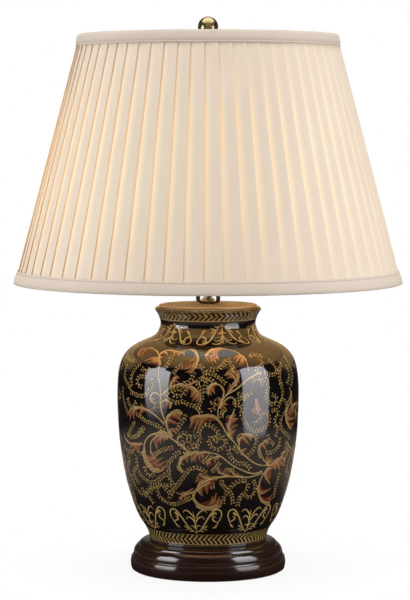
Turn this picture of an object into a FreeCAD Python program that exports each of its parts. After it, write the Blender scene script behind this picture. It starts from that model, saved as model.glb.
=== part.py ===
"""A jar table lamp with a pleated shade, built piece by piece as it comes apart on a bench.

Origin: centre of the resting face. +Z is up, the lead leaves at +Y (the back), the harp lies in the XZ plane.
Every size is in millimetres and sits in the spreadsheet Sizes; every level is worked out from those sizes.
"""

import FreeCAD, Part

import math
import os
import re

import Sketcher
from FreeCAD import Vector

SIZES = {
    # turned wooden base and the felt under it
    "felt_inset": 4.0,
    "felt_thickness": 1.5,
    "base_height": 32.0,
    "base_ledge": 7.6,
    "base_flare": 14.0,
    "base_foot_height": 14.2,
    "base_foot_bulge": 22.0,
    "base_quirk": 1.4,
    "base_band_out": 8.9,
    "base_band_bottom": 18.2,
    "base_band_top": 27.2,
    "base_band_bulge": 17.0,
    "base_step": 1.2,
    "base_edge_bulge": 6.0,
    "base_cove_bulge": 5.0,
    "base_recess_radius": 32.0,
    "base_recess_depth": 14.0,
    "lead_hole_radius": 4.7,
    "lead_hole_height": 7.3,
    # lead outlet bush at the back of the base
    "gland_bore_radius": 3.5,
    "gland_body_radius": 4.5,
    "gland_flange_radius": 5.6,
    "gland_flange_thickness": 1.6,
    "gland_length": 18.0,
    "gland_seat_depth": 2.6,
    # clamping tube with its nut and washer
    "tube_radius": 5.0,
    "tube_bore_radius": 3.6,
    "tube_clearance": 0.4,
    "tube_bottom_height": 4.5,
    "tube_top_engagement": 8.0,
    "nut_across_flats": 17.0,
    "nut_height": 6.0,
    "nut_clearance": 0.1,
    "clamp_washer_radius": 17.0,
    "clamp_washer_thickness": 2.0,
    # glazed jar
    "gasket_thickness": 1.0,
    "gasket_width": 9.0,
    "jar_height": 261.1,
    "jar_foot_radius": 65.4,
    "jar_foot_width": 8.0,
    "jar_foot_hollow": 3.0,
    "jar_belly_radius": 101.6,
    "jar_neck_radius": 53.2,
    "jar_flare_height": 20.1,
    "jar_rim_radius": 59.6,
    "jar_rim_height": 3.4,
    "jar_rim_round": 4.2,
    "jar_rim_shoulder": 56.0,
    "jar_flare_bulge": 24.0,
    "jar_mouth_radius": 45.5,
    "jar_wall": 5.5,
    "jar_hole_radius": 6.6,
    # spun brass cap over the jar's mouth
    "lid_radius": 55.2,
    "lid_edge": 2.6,
    "lid_edge_round": 1.4,
    "lid_crown": 0.8,
    "lid_seat_radius": 13.0,
    "lid_spigot_radius": 45.0,
    "lid_spigot_depth": 6.0,
    "lid_spigot_wall": 1.4,
    "lid_gauge": 1.4,
    # washer, saddle and nut on the cap
    "seal_radius": 9.0,
    "seal_thickness": 0.8,
    "saddle_half_base": 17.0,
    "saddle_half_span": 27.0,
    "saddle_half_plate": 9.5,
    "saddle_width": 12.0,
    "saddle_ear_width": 4.8,
    "saddle_ear_height": 22.0,
    "saddle_thickness": 1.8,
    "saddle_bend": 4.0,
    "saddle_flare_start": 18.0,
    "saddle_flare_end": 38.0,
    "saddle_shoulder_height": 44.0,
    "saddle_tip_height": 56.0,
    "saddle_tip_width": 4.6,
    "saddle_nut_flats": 12.6,
    "saddle_nut_height": 3.0,
    "harp_turn": -46.0,
    # lampholder
    "holder_rise": 30.0,
    "holder_seat_radius": 9.0,
    "holder_boss_height": 7.0,
    "holder_radius": 19.0,
    "holder_wall": 0.9,
    "holder_cap_height": 22.0,
    "holder_cap_dome": 13.0,
    "holder_cap_bulge": 12.0,
    "holder_shell_height": 36.0,
    "holder_bead": 0.9,
    "holder_bead_width": 2.4,
    "holder_bead_round": 1.25,
    "holder_gap": 0.2,
    "core_body_radius": 15.6,
    "core_body_height": 12.0,
    "core_height": 8.0,
    "liner_thickness": 0.8,
    "socket_radius": 13.9,
    "socket_wall": 0.5,
    "socket_skirt": 2.0,
    "tongue_width": 6.0,
    "tongue_reach": 9.0,
    "tongue_thickness": 0.6,
    "tongue_rise": 2.2,
    "terminal_radius": 2.0,
    "terminal_height": 2.6,
    "terminal_place": 10.5,
    "grub_radius": 1.5,
    "grub_height": 4.0,
    "grub_length": 6.5,
    # push-through switch bar
    "bar_radius": 2.0,
    "bar_clearance": 0.3,
    "bar_height": 15.5,
    "bar_travel": 6.0,
    "bar_margin": 1.2,
    "bar_stop_radius": 3.2,
    "bar_stop_length": 4.0,
    "knob_radius": 3.6,
    "knob_length": 5.0,
    "knob_round": 1.6,
    # rolled screw threads of the socket and the bulb
    "thread_pitch": 3.6,
    "thread_crest": 2.6,
    "thread_round": 1.7,
    # screw-in bulb
    "bulb_tip_gap": 0.3,
    "bulb_tip_radius": 4.8,
    "bulb_tip_height": 1.4,
    "bulb_tip_bulge": 9.0,
    "bulb_insulator_height": 3.4,
    "bulb_cap_radius": 12.4,
    "bulb_cap_wall": 0.5,
    "bulb_cap_lip": 0.6,
    "bulb_cap_skirt": 5.0,
    "bulb_glass_radius": 30.0,
    "bulb_neck_radius": 11.7,
    "bulb_glass_wall": 0.8,
    "bulb_glass_set": 5.0,
    "bulb_length": 106.0,
    "bulb_neck_sweep": 60.0,
    "bulb_mount_radius": 4.0,
    "bulb_mount_flare": 8.0,
    "bulb_mount_height": 34.0,
    "bulb_wire_radius": 0.45,
    "bulb_wire_place": 2.4,
    "bulb_wire_spread": 14.0,
    "bulb_wire_rise": 16.0,
    "filament_radius": 0.8,
    "filament_sag": 5.0,
    # harp
    "harp_wire_radius": 1.6,
    "harp_half_width": 57.0,
    "harp_height": 244.6,
    "harp_leg_straight": 20.0,
    "harp_foot_radius": 3.5,
    "harp_foot_length": 14.0,
    "harp_foot_bore": 2.8,
    "harp_eye_radius": 6.6,
    "harp_eye_height": 3.6,
    "sleeve_slack": 0.3,
    "sleeve_wall": 0.9,
    "sleeve_length": 15.5,
    "sleeve_lip": 1.0,
    "sleeve_bead": 0.6,
    # swivel stud on the harp
    "stud_shank_radius": 2.5,
    "stud_head_radius": 4.0,
    "stud_head_height": 1.2,
    "stud_flange_radius": 8.0,
    "stud_flange_height": 1.8,
    "stud_thread_radius": 3.1,
    "stud_thread_height": 12.0,
    "running_gap": 0.3,
    # shade
    "shade_height": 275.7,
    "shade_top_radius": 143.0,
    "shade_bottom_radius": 215.8,
    "pleat_depth": 2.4,
    "pleat_fold": 0.7,
    "pleat_tuck": 2.6,
    "pleat_backing": 0.8,
    "lining_thickness": 0.7,
    "layer_gap": 0.1,
    "tape_thickness": 0.6,
    "tape_height": 14.5,
    "tape_top_height": 13.3,
    "tape_turn_in": 9.0,
    "ring_wire_radius": 1.6,
    "spider_wire_radius": 1.5,
    "spider_weld": 0.4,
    "hub_weld": 1.8,
    "hub_radius": 12.5,
    "hub_thickness": 2.0,
    # finial and its washer
    "finial_washer_radius": 7.4,
    "finial_washer_thickness": 0.8,
    "finial_height": 23.2,
    "finial_collar_radius": 7.0,
    "finial_collar_height": 1.8,
    "finial_waist_radius": 5.4,
    "finial_waist_level": 4.4,
    "finial_under_level": 7.4,
    "finial_dome_radius": 11.3,
    "finial_dome_level": 11.9,
    "finial_under_bulge": 8.0,
    "finial_bore_depth": 10.0,
}
PLEATS = 63
SPIDER_ARMS = 3
HEX_SIDES = 6
SOCKET_TURNS = 6
BULB_TURNS = 4

# Levels above the resting face and other sizes that follow from the ones above.
DERIVED = {
    "wood_top": "felt_thickness + base_height",
    "recess_top": "felt_thickness + base_recess_depth",
    "base_plateau_radius": "jar_foot_radius + base_ledge",
    "base_foot_radius": "base_plateau_radius + base_flare",
    "base_band_radius": "base_plateau_radius + base_band_out",
    "felt_radius": "base_foot_radius - felt_inset",
    "tube_hole_radius": "tube_radius + tube_clearance",
    "jar_bottom": "wood_top + gasket_thickness",
    "jar_top": "jar_bottom + jar_height",
    "jar_neck_height": "jar_height - jar_flare_height",
    "jar_rim_level": "jar_top - jar_rim_height",
    "lid_edge_top": "jar_top + lid_edge",
    "lid_top": "lid_edge_top + lid_crown",
    "saddle_bottom": "lid_top + seal_thickness",
    "saddle_top": "saddle_bottom + saddle_thickness",
    "shoulder_level": "saddle_bottom + saddle_shoulder_height",
    "saddle_tip": "saddle_bottom + saddle_tip_height",
    "holder_bottom": "saddle_top + holder_rise",
    "tube_top": "holder_bottom + tube_top_engagement",
    "cap_top": "holder_bottom + holder_cap_height",
    "holder_inner_radius": "holder_radius - holder_wall",
    "core_bottom": "cap_top - holder_gap - core_body_height",
    "core_top": "cap_top + core_height",
    "core_radius": "holder_inner_radius - holder_gap",
    "shell_top": "cap_top + holder_shell_height",
    "socket_top": "core_top + socket_skirt + SOCKET_TURNS * thread_pitch",
    "bar_level": "holder_bottom + bar_height",
    "bar_half_length": "holder_radius + bar_margin + bar_travel / 2",
    "tongue_top": "core_top + tongue_rise",
    "bulb_bottom": "tongue_top + bulb_tip_gap",
    "insulator_bottom": "bulb_bottom + bulb_tip_height",
    "bulb_cap_bottom": "insulator_bottom + bulb_insulator_height",
    "bulb_cap_top": "bulb_cap_bottom + bulb_cap_lip + BULB_TURNS * thread_pitch + bulb_cap_skirt",
    "bulb_glass_bottom": "bulb_cap_top - bulb_glass_set",
    "bulb_top": "bulb_bottom + bulb_length",
    "bulb_centre": "bulb_top - bulb_glass_radius",
    "sweep_reach": "bulb_glass_radius + bulb_neck_sweep",
    "sweep_side": "bulb_neck_radius + bulb_neck_sweep",
    "sweep_drop": "sqrt(sweep_reach * sweep_reach - sweep_side * sweep_side)",
    "mount_top": "bulb_glass_bottom + bulb_mount_height",
    "harp_span": "saddle_half_span - saddle_thickness / 2",
    "foot_bottom": "shoulder_level + running_gap",
    "foot_top": "foot_bottom + harp_foot_length",
    "leg_top": "foot_top + harp_leg_straight",
    "harp_top": "foot_bottom + harp_height",
    "eye_bottom": "harp_top - harp_eye_height",
    "eye_level": "harp_top - harp_eye_height / 2",
    "flange_bottom": "harp_top + running_gap",
    "flange_top": "flange_bottom + stud_flange_height",
    "stud_top": "flange_top + stud_thread_height",
    "hub_bottom": "flange_top + running_gap",
    "hub_top": "hub_bottom + hub_thickness",
    "washer_bottom": "hub_top + running_gap",
    "finial_bottom": "washer_bottom + finial_washer_thickness + running_gap",
    "spider_level": "hub_top + spider_wire_radius - hub_weld",
    "top_ring_level": "spider_level + spider_wire_radius + ring_wire_radius - spider_weld",
    "shade_top_level": "top_ring_level + ring_wire_radius + tape_thickness",
    "shade_bottom_level": "shade_top_level - shade_height",
    "shade_slope": "(shade_bottom_radius - shade_top_radius) / shade_height",
    "pleat_bottom": "shade_bottom_level + tape_thickness + layer_gap",
    "pleat_top": "shade_top_level - tape_thickness - layer_gap",
    "pleat_inset": "pleat_depth + pleat_backing",
    "lining_outset": "pleat_inset + layer_gap",
    "lining_inset": "lining_outset + lining_thickness",
    "tape_inset": "lining_inset + layer_gap",
    "ring_inset": "tape_inset + tape_thickness + layer_gap + ring_wire_radius * sqrt(1 + shade_slope * shade_slope)",
    "low_ring_level": "shade_bottom_level + tape_thickness + ring_wire_radius",
}

# The jar's outline from foot to neck: share of the height to the neck, and share of the way from the
# foot's radius (or, above the belly, from the neck's radius) to the belly's radius.
JAR_LOWER_SHARES = (
    (0.022, 0.018),
    (0.052, 0.090),
    (0.094, 0.272),
    (0.155, 0.462),
    (0.262, 0.688),
    (0.372, 0.838),
    (0.485, 0.942),
    (0.650, 1.000),
)
JAR_UPPER_SHARES = (
    (0.778, 0.976),
    (0.838, 0.900),
    (0.876, 0.778),
    (0.905, 0.600),
    (0.932, 0.318),
    (0.960, 0.086),
    (1.000, 0.000),
)
# The harp's bow from the top of a leg to the eye: share of the bow's height and of its half width.
HARP_SHARES = ((0.10, 0.66), (0.28, 0.93), (0.46, 1.00), (0.66, 0.90), (0.84, 0.62), (0.935, 0.36), (0.985, 0.18), (0.998, 0.09))

COUNTS = {"PLEATS": PLEATS, "SOCKET_TURNS": SOCKET_TURNS, "BULB_TURNS": BULB_TURNS}

doc = FreeCAD.newDocument("TableLamp")
sheet = doc.addObject("Spreadsheet::Sheet", "Sizes")
for row, (alias, size) in enumerate(SIZES.items(), start=1):
    sheet.set(f"A{row}", alias)
    sheet.set(f"B{row}", str(size))
    sheet.setAlias(f"B{row}", alias)
doc.recompute()

parts = []


def bound(text):
    """Writes the named sizes and levels in text as spreadsheet references."""

    def spell(match):
        word = match.group()
        if word in SIZES:
            return "Sizes." + word
        if word in COUNTS:
            return str(COUNTS[word])
        return "(" + bound(DERIVED[word]) + ")" if word in DERIVED else word

    return re.sub(r"[A-Za-z][A-Za-z_]*", spell, text)


def value(text):
    """What an expression of named sizes comes to, in millimetres."""
    return float(sheet.evalExpression(bound(text)))


def listed(label, thing):
    """Enters a finished piece in the parts list under the name of its file."""
    thing.Label = label
    parts.append(thing)
    return thing


def plane(body, role):
    return next(f for f in body.Origin.OriginFeatures if f.Role == role)


def sketch_on(body, role, height="0", name="Sketch"):
    """A sketch on one of the body's own origin planes, raised by an expression."""
    sketch = body.newObject("Sketcher::SketchObject", name)
    sketch.AttachmentSupport = (plane(body, role), [""])
    sketch.MapMode = "FlatFace"
    sketch.setExpression("AttachmentOffset.Base.z", bound(height))
    return sketch


def datum(sketch, kind, *where_and_size):
    """A dimension bound to the spreadsheet: kind, the geometry that it holds, and its expression."""
    *where, text = where_and_size
    index = sketch.addConstraint(Sketcher.Constraint(kind, *where, value(text)))
    sketch.setExpression(f"Constraints[{index}]", bound(text))


def pin(sketch, geometry, end, place):
    """Holds a point of the sketch at a place given by two expressions."""
    for kind, text in zip(("DistanceX", "DistanceY"), place):
        datum(sketch, kind, -1, 1, geometry, end, text)


def arc_between(start, end, radius, side):
    """The short arc from start to end; side 1 keeps its centre on the left of the way there."""
    chord = end - start
    reach = max(radius * radius - chord.Length * chord.Length / 4, 0)
    left = Vector(-chord.y, chord.x, 0).normalize()
    centre = (start + end) / 2 + left * side * math.sqrt(reach)
    angles = [math.atan2(p.y - centre.y, p.x - centre.x) for p in (start, end)]
    if side < 0:
        angles.reverse()
    return Part.ArcOfCircle(Part.Circle(centre, Vector(0, 0, 1), radius), *angles)


def outline(sketch, steps):
    """Draws a closed outline. A step is a corner (x, y), an arc to a corner (x, y, radius, side),
    or a smooth curve through plain points that ends at the last of them."""
    ends = []
    corners = [s[-1] if isinstance(s, list) else s for s in steps]
    for step, before, after in zip(steps, corners[-1:] + corners[:-1], corners):
        start, end = (point_of(p) for p in (before, after))
        if isinstance(step, list):
            curve = Part.BSplineCurve()
            curve.interpolate([start] + [point_of(p) for p in step])
            geometry = sketch.addGeometry(curve)
            sketch.addConstraint(Sketcher.Constraint("Block", geometry))
            ends.append((geometry, 1, 2, True))
        elif len(step) == 4:
            radius, side = step[2:]
            geometry = sketch.addGeometry(arc_between(start, end, value(radius), side))
            ends.append((geometry, *((1, 2) if side > 0 else (2, 1)), False))
            datum(sketch, "Radius", geometry, radius)
        else:
            ends.append((sketch.addGeometry(Part.LineSegment(start, end)), 1, 2, False))
    for (geo, _, last, fixed), (after, first, _, next_fixed), corner in zip(ends, ends[1:] + ends[:1], corners):
        sketch.addConstraint(Sketcher.Constraint("Coincident", geo, last, after, first))
        if not (fixed or next_fixed):
            pin(sketch, geo, last, corner[:2])
    return sketch


def point_of(place):
    """A corner given by expressions, or by plain numbers, as a point of its sketch."""
    return Vector(*(value(c) if isinstance(c, str) else c for c in place[:2]), 0)


def circle(sketch, radius, place=("0", "0")):
    """A circle in the sketch, its centre and radius bound to expressions."""
    ring = sketch.addGeometry(Part.Circle(point_of(place), Vector(0, 0, 1), value(radius)))
    datum(sketch, "Radius", ring, radius)
    pin(sketch, ring, 3, place)


def revolved(body, steps, kind="Revolution"):
    """Turns an outline (radius, level) once round the body's upright axis."""
    sketch = outline(sketch_on(body, "XZ_Plane", name="Profile"), steps)
    turn = body.newObject("PartDesign::" + kind, kind)
    turn.Profile = sketch
    turn.ReferenceAxis = (sketch, ["V_Axis"])
    turn.Angle = 360
    return turn


def turned(label, steps, at=None):
    """A lathe-turned piece; at moves its axis along X."""
    body = doc.addObject("PartDesign::Body", label)
    revolved(body, steps)
    if at:
        body.setExpression("Placement.Base.x", bound(at))
    return listed(label, body)


def ring(label, inner, outer, bottom, top, at=None):
    """A plain washer or tube between two radii and two levels."""
    return turned(label, [(inner, bottom), (outer, bottom), (outer, top), (inner, top)], at)


def drilled(body, role, radius, place, depth, height="0", both=False, back=False):
    """A round hole cut from a sketch on an origin plane."""
    sketch = sketch_on(body, role, height, "HoleSketch")
    circle(sketch, radius, place)
    cut = body.newObject("PartDesign::Pocket", "Hole")
    cut.Profile = sketch
    cut.setExpression("Length", bound(depth))
    cut.Midplane = both
    cut.Reversed = back
    return cut


def padded(body, sketch, length, both=False, back=False):
    pad = body.newObject("PartDesign::Pad", "Pad")
    pad.Profile = sketch
    pad.setExpression("Length", bound(length))
    pad.Midplane = both
    pad.Reversed = back
    return pad


def felt_and_base():
    turned("base_felt", [("0", "0"), ("felt_radius", "0"), ("felt_radius", "felt_thickness"), ("0", "felt_thickness")])
    base = turned(
        "wooden_base",
        [
            ("tube_hole_radius", "recess_top"),
            ("base_recess_radius", "recess_top"),
            ("base_recess_radius", "felt_thickness"),
            ("base_foot_radius - base_step", "felt_thickness"),
            ("base_foot_radius - base_step", "felt_thickness + base_foot_height", "base_foot_bulge", 1),
            ("base_foot_radius - base_step - base_quirk", "felt_thickness + base_foot_height"),
            ("base_band_radius", "felt_thickness + base_band_bottom", "base_cove_bulge", -1),
            (
                "base_plateau_radius + base_edge_bulge",
                "felt_thickness + base_band_top",
                "base_band_bulge",
                1,
            ),
            ("base_plateau_radius + base_edge_bulge - base_step", "felt_thickness + base_band_top"),
            ("base_plateau_radius", "wood_top", "base_edge_bulge", 1),
            ("tube_hole_radius", "wood_top"),
        ],
    )
    lead = ("0", "felt_thickness + lead_hole_height")
    drilled(base, "XZ_Plane", "lead_hole_radius", lead, "base_foot_radius")
    seat = "-(base_foot_radius - gland_seat_depth)"
    drilled(base, "XZ_Plane", "gland_flange_radius + tube_clearance", lead, "gland_seat_depth + base_step", seat)


def lead_gland():
    """A flanged bush for the lead, modelled upright and laid along +Y in its hole."""
    gland = turned(
        "lead_gland",
        [
            ("gland_bore_radius", "-gland_length"),
            ("gland_body_radius", "-gland_length"),
            ("gland_body_radius", "0"),
            ("gland_flange_radius", "0"),
            ("gland_flange_radius", "gland_flange_thickness / 2"),
            (
                "gland_flange_radius - gland_flange_thickness / 2",
                "gland_flange_thickness",
                "gland_flange_thickness / 2",
                1,
            ),
            ("gland_bore_radius", "gland_flange_thickness"),
        ],
    )
    gland.Placement.Rotation = FreeCAD.Rotation(Vector(1, 0, 0), -90)
    gland.setExpression("Placement.Base.y", bound("base_foot_radius - gland_seat_depth"))
    gland.setExpression("Placement.Base.z", bound("felt_thickness + lead_hole_height"))


def hex_nut(label, flats, height, bottom):
    """A hexagon nut on the clamping tube."""
    body = doc.addObject("PartDesign::Body", label)
    sketch = sketch_on(body, "XY_Plane", bottom)
    turn = 360 // HEX_SIDES
    corner = f"{flats} / 2 / cos({turn // 2})"
    spots = [(f"{corner} * cos({turn * k})", f"{corner} * sin({turn * k})") for k in range(HEX_SIDES)]
    outline(sketch, spots)
    circle(sketch, "tube_radius + nut_clearance")
    padded(body, sketch, height)
    return listed(label, body)


def clamping_stack():
    washer_bottom = "recess_top - clamp_washer_thickness"
    ring("clamp_washer", "tube_hole_radius", "clamp_washer_radius", washer_bottom, "recess_top")
    hex_nut("clamp_nut", "nut_across_flats", "nut_height", f"{washer_bottom} - nut_height")
    ring("threaded_tube", "tube_bore_radius", "tube_radius", "tube_bottom_height", "tube_top")


def jar_curve():
    """The jar's outer curve from foot to neck, as plain points."""
    foot, belly, neck = (value(f"jar_{n}_radius") for n in ("foot", "belly", "neck"))
    bottom, rise = value("jar_bottom"), value("jar_neck_height")
    low = [(foot + s * (belly - foot), bottom + t * rise) for t, s in JAR_LOWER_SHARES]
    return low + [(neck + s * (belly - neck), bottom + t * rise) for t, s in JAR_UPPER_SHARES]


def jar_inside(points):
    """The same curve moved in by the wall, square to the curve at each point."""
    curve = Part.BSplineCurve()
    curve.interpolate([Vector(*p, 0) for p in points])
    moved = []
    for p in points:
        tangent = curve.tangent(curve.parameter(Vector(*p, 0)))[0]
        moved.append((p[0] - tangent.y * value("jar_wall"), p[1] + tangent.x * value("jar_wall")))
    return moved


def jar():
    ring(
        "foot_gasket",
        "jar_foot_radius - gasket_width",
        "jar_foot_radius - gasket_thickness",
        "wood_top",
        "jar_bottom",
    )
    outside = jar_curve()
    floor = value("jar_bottom + jar_foot_hollow + jar_wall")
    inside = [p for p in jar_inside(outside) if p[1] > floor + value("jar_wall")]
    inside.reverse()
    turned(
        "jar",
        [
            ("jar_hole_radius", "jar_bottom + jar_foot_hollow"),
            ("jar_foot_radius - jar_foot_width", "jar_bottom + jar_foot_hollow"),
            ("jar_foot_radius - jar_foot_width", "jar_bottom"),
            ("jar_foot_radius", "jar_bottom"),
            outside[0],
            outside[1:],
            ("jar_rim_radius", "jar_rim_level", "jar_flare_bulge", -1),
            ("jar_rim_shoulder", "jar_top", "jar_rim_round", 1),
            ("jar_mouth_radius", "jar_top"),
            ("jar_mouth_radius", "jar_rim_level - jar_wall"),
            inside[0],
            inside[1:],
            ("jar_foot_radius - jar_foot_width", f"{floor}"),
            ("jar_hole_radius", f"{floor}"),
        ],
    )


def jar_cap():
    """The spun brass disc over the jar's mouth, with a turned-down spigot that centres it."""
    turned(
        "jar_cap",
        [
            ("lid_spigot_radius - lid_spigot_wall", "jar_top - lid_spigot_depth"),
            ("lid_spigot_radius", "jar_top - lid_spigot_depth"),
            ("lid_spigot_radius", "jar_top"),
            ("lid_radius - lid_edge / 2", "jar_top"),
            ("lid_radius - lid_edge / 2", "lid_edge_top", "lid_edge_round", 1),
            ("lid_seat_radius", "lid_top"),
            ("tube_hole_radius", "lid_top"),
            ("tube_hole_radius", "lid_top - lid_gauge"),
            ("lid_seat_radius", "lid_top - lid_gauge"),
            ("lid_spigot_radius - lid_spigot_wall", "lid_edge_top + lid_crown / 3 - lid_gauge"),
        ],
    )
    ring("cap_washer", "tube_hole_radius", "seal_radius", "lid_top", "saddle_bottom")


def swung(body, out="0"):
    """Turns a piece round the lamp's axis to the way the harp faces, out along that way."""
    body.Placement.Rotation = FreeCAD.Rotation(Vector(0, 0, 1), value("harp_turn"))
    body.setExpression("Placement.Base.x", bound(f"({out}) * cos(harp_turn)"))
    body.setExpression("Placement.Base.y", bound(f"({out}) * sin(harp_turn)"))
    return body


def saddle():
    """A strap bent up at both ends into slim ears, flared round the lampholder, with a narrow tip above each
    shoulder; the strap is full width round the tube and from the flare up."""
    body = doc.addObject("PartDesign::Body", "harp_saddle")
    steps = []
    for side, turn in (("", 1), ("-", -1)):
        run = [
            (f"{side}(saddle_half_base - saddle_bend)", "saddle_bottom"),
            (f"{side}saddle_half_base", "saddle_bottom + saddle_bend", "saddle_bend", 1),
            (f"{side}saddle_half_base", "saddle_bottom + saddle_flare_start"),
            (f"{side}saddle_half_span", "saddle_bottom + saddle_flare_end"),
            (f"{side}saddle_half_span", "saddle_tip"),
            (f"{side}(saddle_half_span - saddle_thickness)", "saddle_tip"),
            (f"{side}(saddle_half_span - saddle_thickness)", "saddle_bottom + saddle_flare_end"),
            (f"{side}(saddle_half_base - saddle_thickness)", "saddle_bottom + saddle_flare_start"),
            (f"{side}(saddle_half_base - saddle_thickness)", "saddle_bottom + saddle_bend"),
            (f"{side}(saddle_half_base - saddle_bend)", "saddle_top", "saddle_bend - saddle_thickness", -1),
        ]
        if turn < 0:
            corners = [corner[:2] for corner in reversed(run)]
            corners[1] = (*corners[1], "saddle_bend - saddle_thickness", -1)
            corners[-1] = (*corners[-1], "saddle_bend", 1)
            run = corners
        steps += run
    padded(body, outline(sketch_on(body, "XZ_Plane"), steps), "saddle_width", both=True)
    tips = sketch_on(body, "YZ_Plane", name="TipSketch")
    for side in ("", "-"):
        outline(
            tips,
            [
                (f"{side}saddle_tip_width / 2", "shoulder_level"),
                (f"{side}saddle_width", "shoulder_level"),
                (f"{side}saddle_width", "saddle_tip + saddle_bend"),
                (f"{side}saddle_tip_width / 2", "saddle_tip + saddle_bend"),
            ],
        )
    cut = body.newObject("PartDesign::Pocket", "Tips")
    cut.Profile = tips
    cut.setExpression("Length", bound("saddle_half_span * 3"))
    cut.Midplane = True
    sides = sketch_on(body, "XY_Plane", "saddle_bottom", "EarSketch")
    for end in ("", "-"):
        for side in ("", "-"):
            outline(
                sides,
                [
                    (f"{end}saddle_half_plate", f"{side}saddle_ear_width / 2"),
                    (f"{end}saddle_half_span", f"{side}saddle_ear_width / 2"),
                    (f"{end}saddle_half_span", f"{side}saddle_width"),
                    (f"{end}saddle_half_plate", f"{side}saddle_width"),
                ],
            )
    ears = body.newObject("PartDesign::Pocket", "Ears")
    ears.Profile = sides
    ears.setExpression("Length", bound("saddle_ear_height"))
    ears.Reversed = True
    drilled(body, "XY_Plane", "tube_hole_radius", ("0", "0"), "saddle_bend", "saddle_bottom", both=True)
    swung(listed("harp_saddle", body))
    hex_nut("saddle_nut", "saddle_nut_flats", "saddle_nut_height", "saddle_top")


def bead(radius, bottom):
    """The steps of a half-round bead on a tube's outside, going up from bottom."""
    return [(radius, bottom), (radius, f"{bottom} + holder_bead_width", "holder_bead_round", 1)]


def lampholder():
    """Brass cap and shell round an insulating core, a liner, the screw shell and the centre contact."""
    cap = turned(
        "holder_cap",
        [
            ("tube_hole_radius", "holder_bottom"),
            ("holder_seat_radius", "holder_bottom"),
            ("holder_radius", "holder_bottom + holder_cap_dome", "holder_cap_bulge", 1),
            ("holder_radius", "cap_top"),
            ("holder_inner_radius", "cap_top"),
            ("holder_inner_radius", "holder_bottom + holder_cap_dome"),
            (
                "holder_seat_radius + holder_wall",
                "holder_bottom + holder_wall * 2",
                "holder_cap_bulge - holder_wall",
                -1,
            ),
            ("holder_seat_radius", "holder_bottom + holder_boss_height"),
            ("tube_hole_radius", "holder_bottom + holder_boss_height"),
        ],
    )
    bar_hole = "bar_radius + bar_clearance"
    drilled(cap, "XZ_Plane", bar_hole, ("0", "bar_level"), "holder_radius * 3", both=True)
    drilled(
        cap,
        "YZ_Plane",
        "grub_radius + nut_clearance",
        ("0", "holder_bottom + grub_height"),
        "holder_radius + holder_wall",
        back=True,
    )
    grub = turned(
        "holder_grub_screw",
        [("0", "0"), ("grub_radius", "0"), ("grub_radius", "grub_length"), ("0", "grub_length")],
    )
    grub.Placement.Rotation = FreeCAD.Rotation(Vector(0, 1, 0), 90)
    grub.setExpression("Placement.Base.x", bound("tube_radius + nut_clearance"))
    grub.setExpression("Placement.Base.z", bound("holder_bottom + grub_height"))

    bead_low = "cap_top + holder_bead_width"
    bead_high = "shell_top - holder_bead_width"
    turned(
        "holder_shell",
        [
            ("holder_inner_radius", "cap_top"),
            ("holder_radius", "cap_top"),
            *bead("holder_radius", bead_low),
            *bead("holder_radius", bead_high),
            ("holder_inner_radius", "shell_top"),
        ],
    )
    core = turned(
        "holder_core",
        [
            ("0", "core_bottom"),
            ("core_body_radius", "core_bottom"),
            ("core_body_radius", "cap_top"),
            ("core_radius", "cap_top"),
            ("core_radius", "core_top"),
            ("0", "core_top"),
        ],
    )
    drilled(core, "XZ_Plane", bar_hole, ("0", "bar_level"), "holder_radius * 3", both=True)
    drilled(
        core,
        "XZ_Plane",
        "bar_stop_radius + bar_clearance",
        ("0", "bar_level"),
        "bar_stop_length + bar_travel + bar_clearance * 2",
        both=True,
    )
    ring(
        "holder_liner",
        "core_radius - liner_thickness",
        "core_radius",
        "core_top",
        "shell_top",
    )
    turned("holder_screw_shell", rolled("socket_radius", "socket_wall", "core_top", "socket_skirt", SOCKET_TURNS))

    tongue = doc.addObject("PartDesign::Body", "holder_contact")
    lift = "tongue_top - tongue_thickness"
    steps = [
        ("-tongue_reach", "core_top"),
        ("-tongue_reach / 2", "core_top"),
        ("tongue_reach / 4", lift),
        ("tongue_reach / 2", lift),
        ("tongue_reach / 2", "tongue_top"),
        ("tongue_reach / 4", "tongue_top"),
        ("-tongue_reach / 2", "core_top + tongue_thickness"),
        ("-tongue_reach", "core_top + tongue_thickness"),
    ]
    padded(tongue, outline(sketch_on(tongue, "XZ_Plane"), steps), "tongue_width", both=True)
    listed("holder_contact", tongue)
    for side, sign in (("left", "-"), ("right", "")):
        screw = f"terminal_{side}"
        bottom = "core_bottom - terminal_height"
        steps = [("0", bottom), ("terminal_radius", bottom), ("terminal_radius", "core_bottom"), ("0", "core_bottom")]
        turned(screw, steps, f"{sign}terminal_place")


def rolled(radius, wall, bottom, skirt, turns, skirt_above="0"):
    """The outline of a screw shell rolled from sheet: a plain skirt, rounded turns, a plain top."""
    outer, inner = [(radius, bottom)], [(f"{radius} - {wall}", bottom)]
    for turn in range(turns):
        low = f"{bottom} + {skirt} + {turn} * thread_pitch"
        outer += [(radius, low), (radius, f"{low} + thread_crest", "thread_round", 1)]
        inner += [(f"{radius} - {wall}", low), (f"{radius} - {wall}", f"{low} + thread_crest", "thread_round", 1)]
    top = f"{bottom} + {skirt} + {turns} * thread_pitch + {skirt_above}"
    outer.append((radius, top))
    inner.append((f"{radius} - {wall}", top))
    back = [corner[:2] for corner in reversed(inner)]
    for turn in range(turns):
        spot = 2 + 2 * turn
        back[spot] = (*back[spot], "thread_round", -1)
    return outer + back


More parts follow.
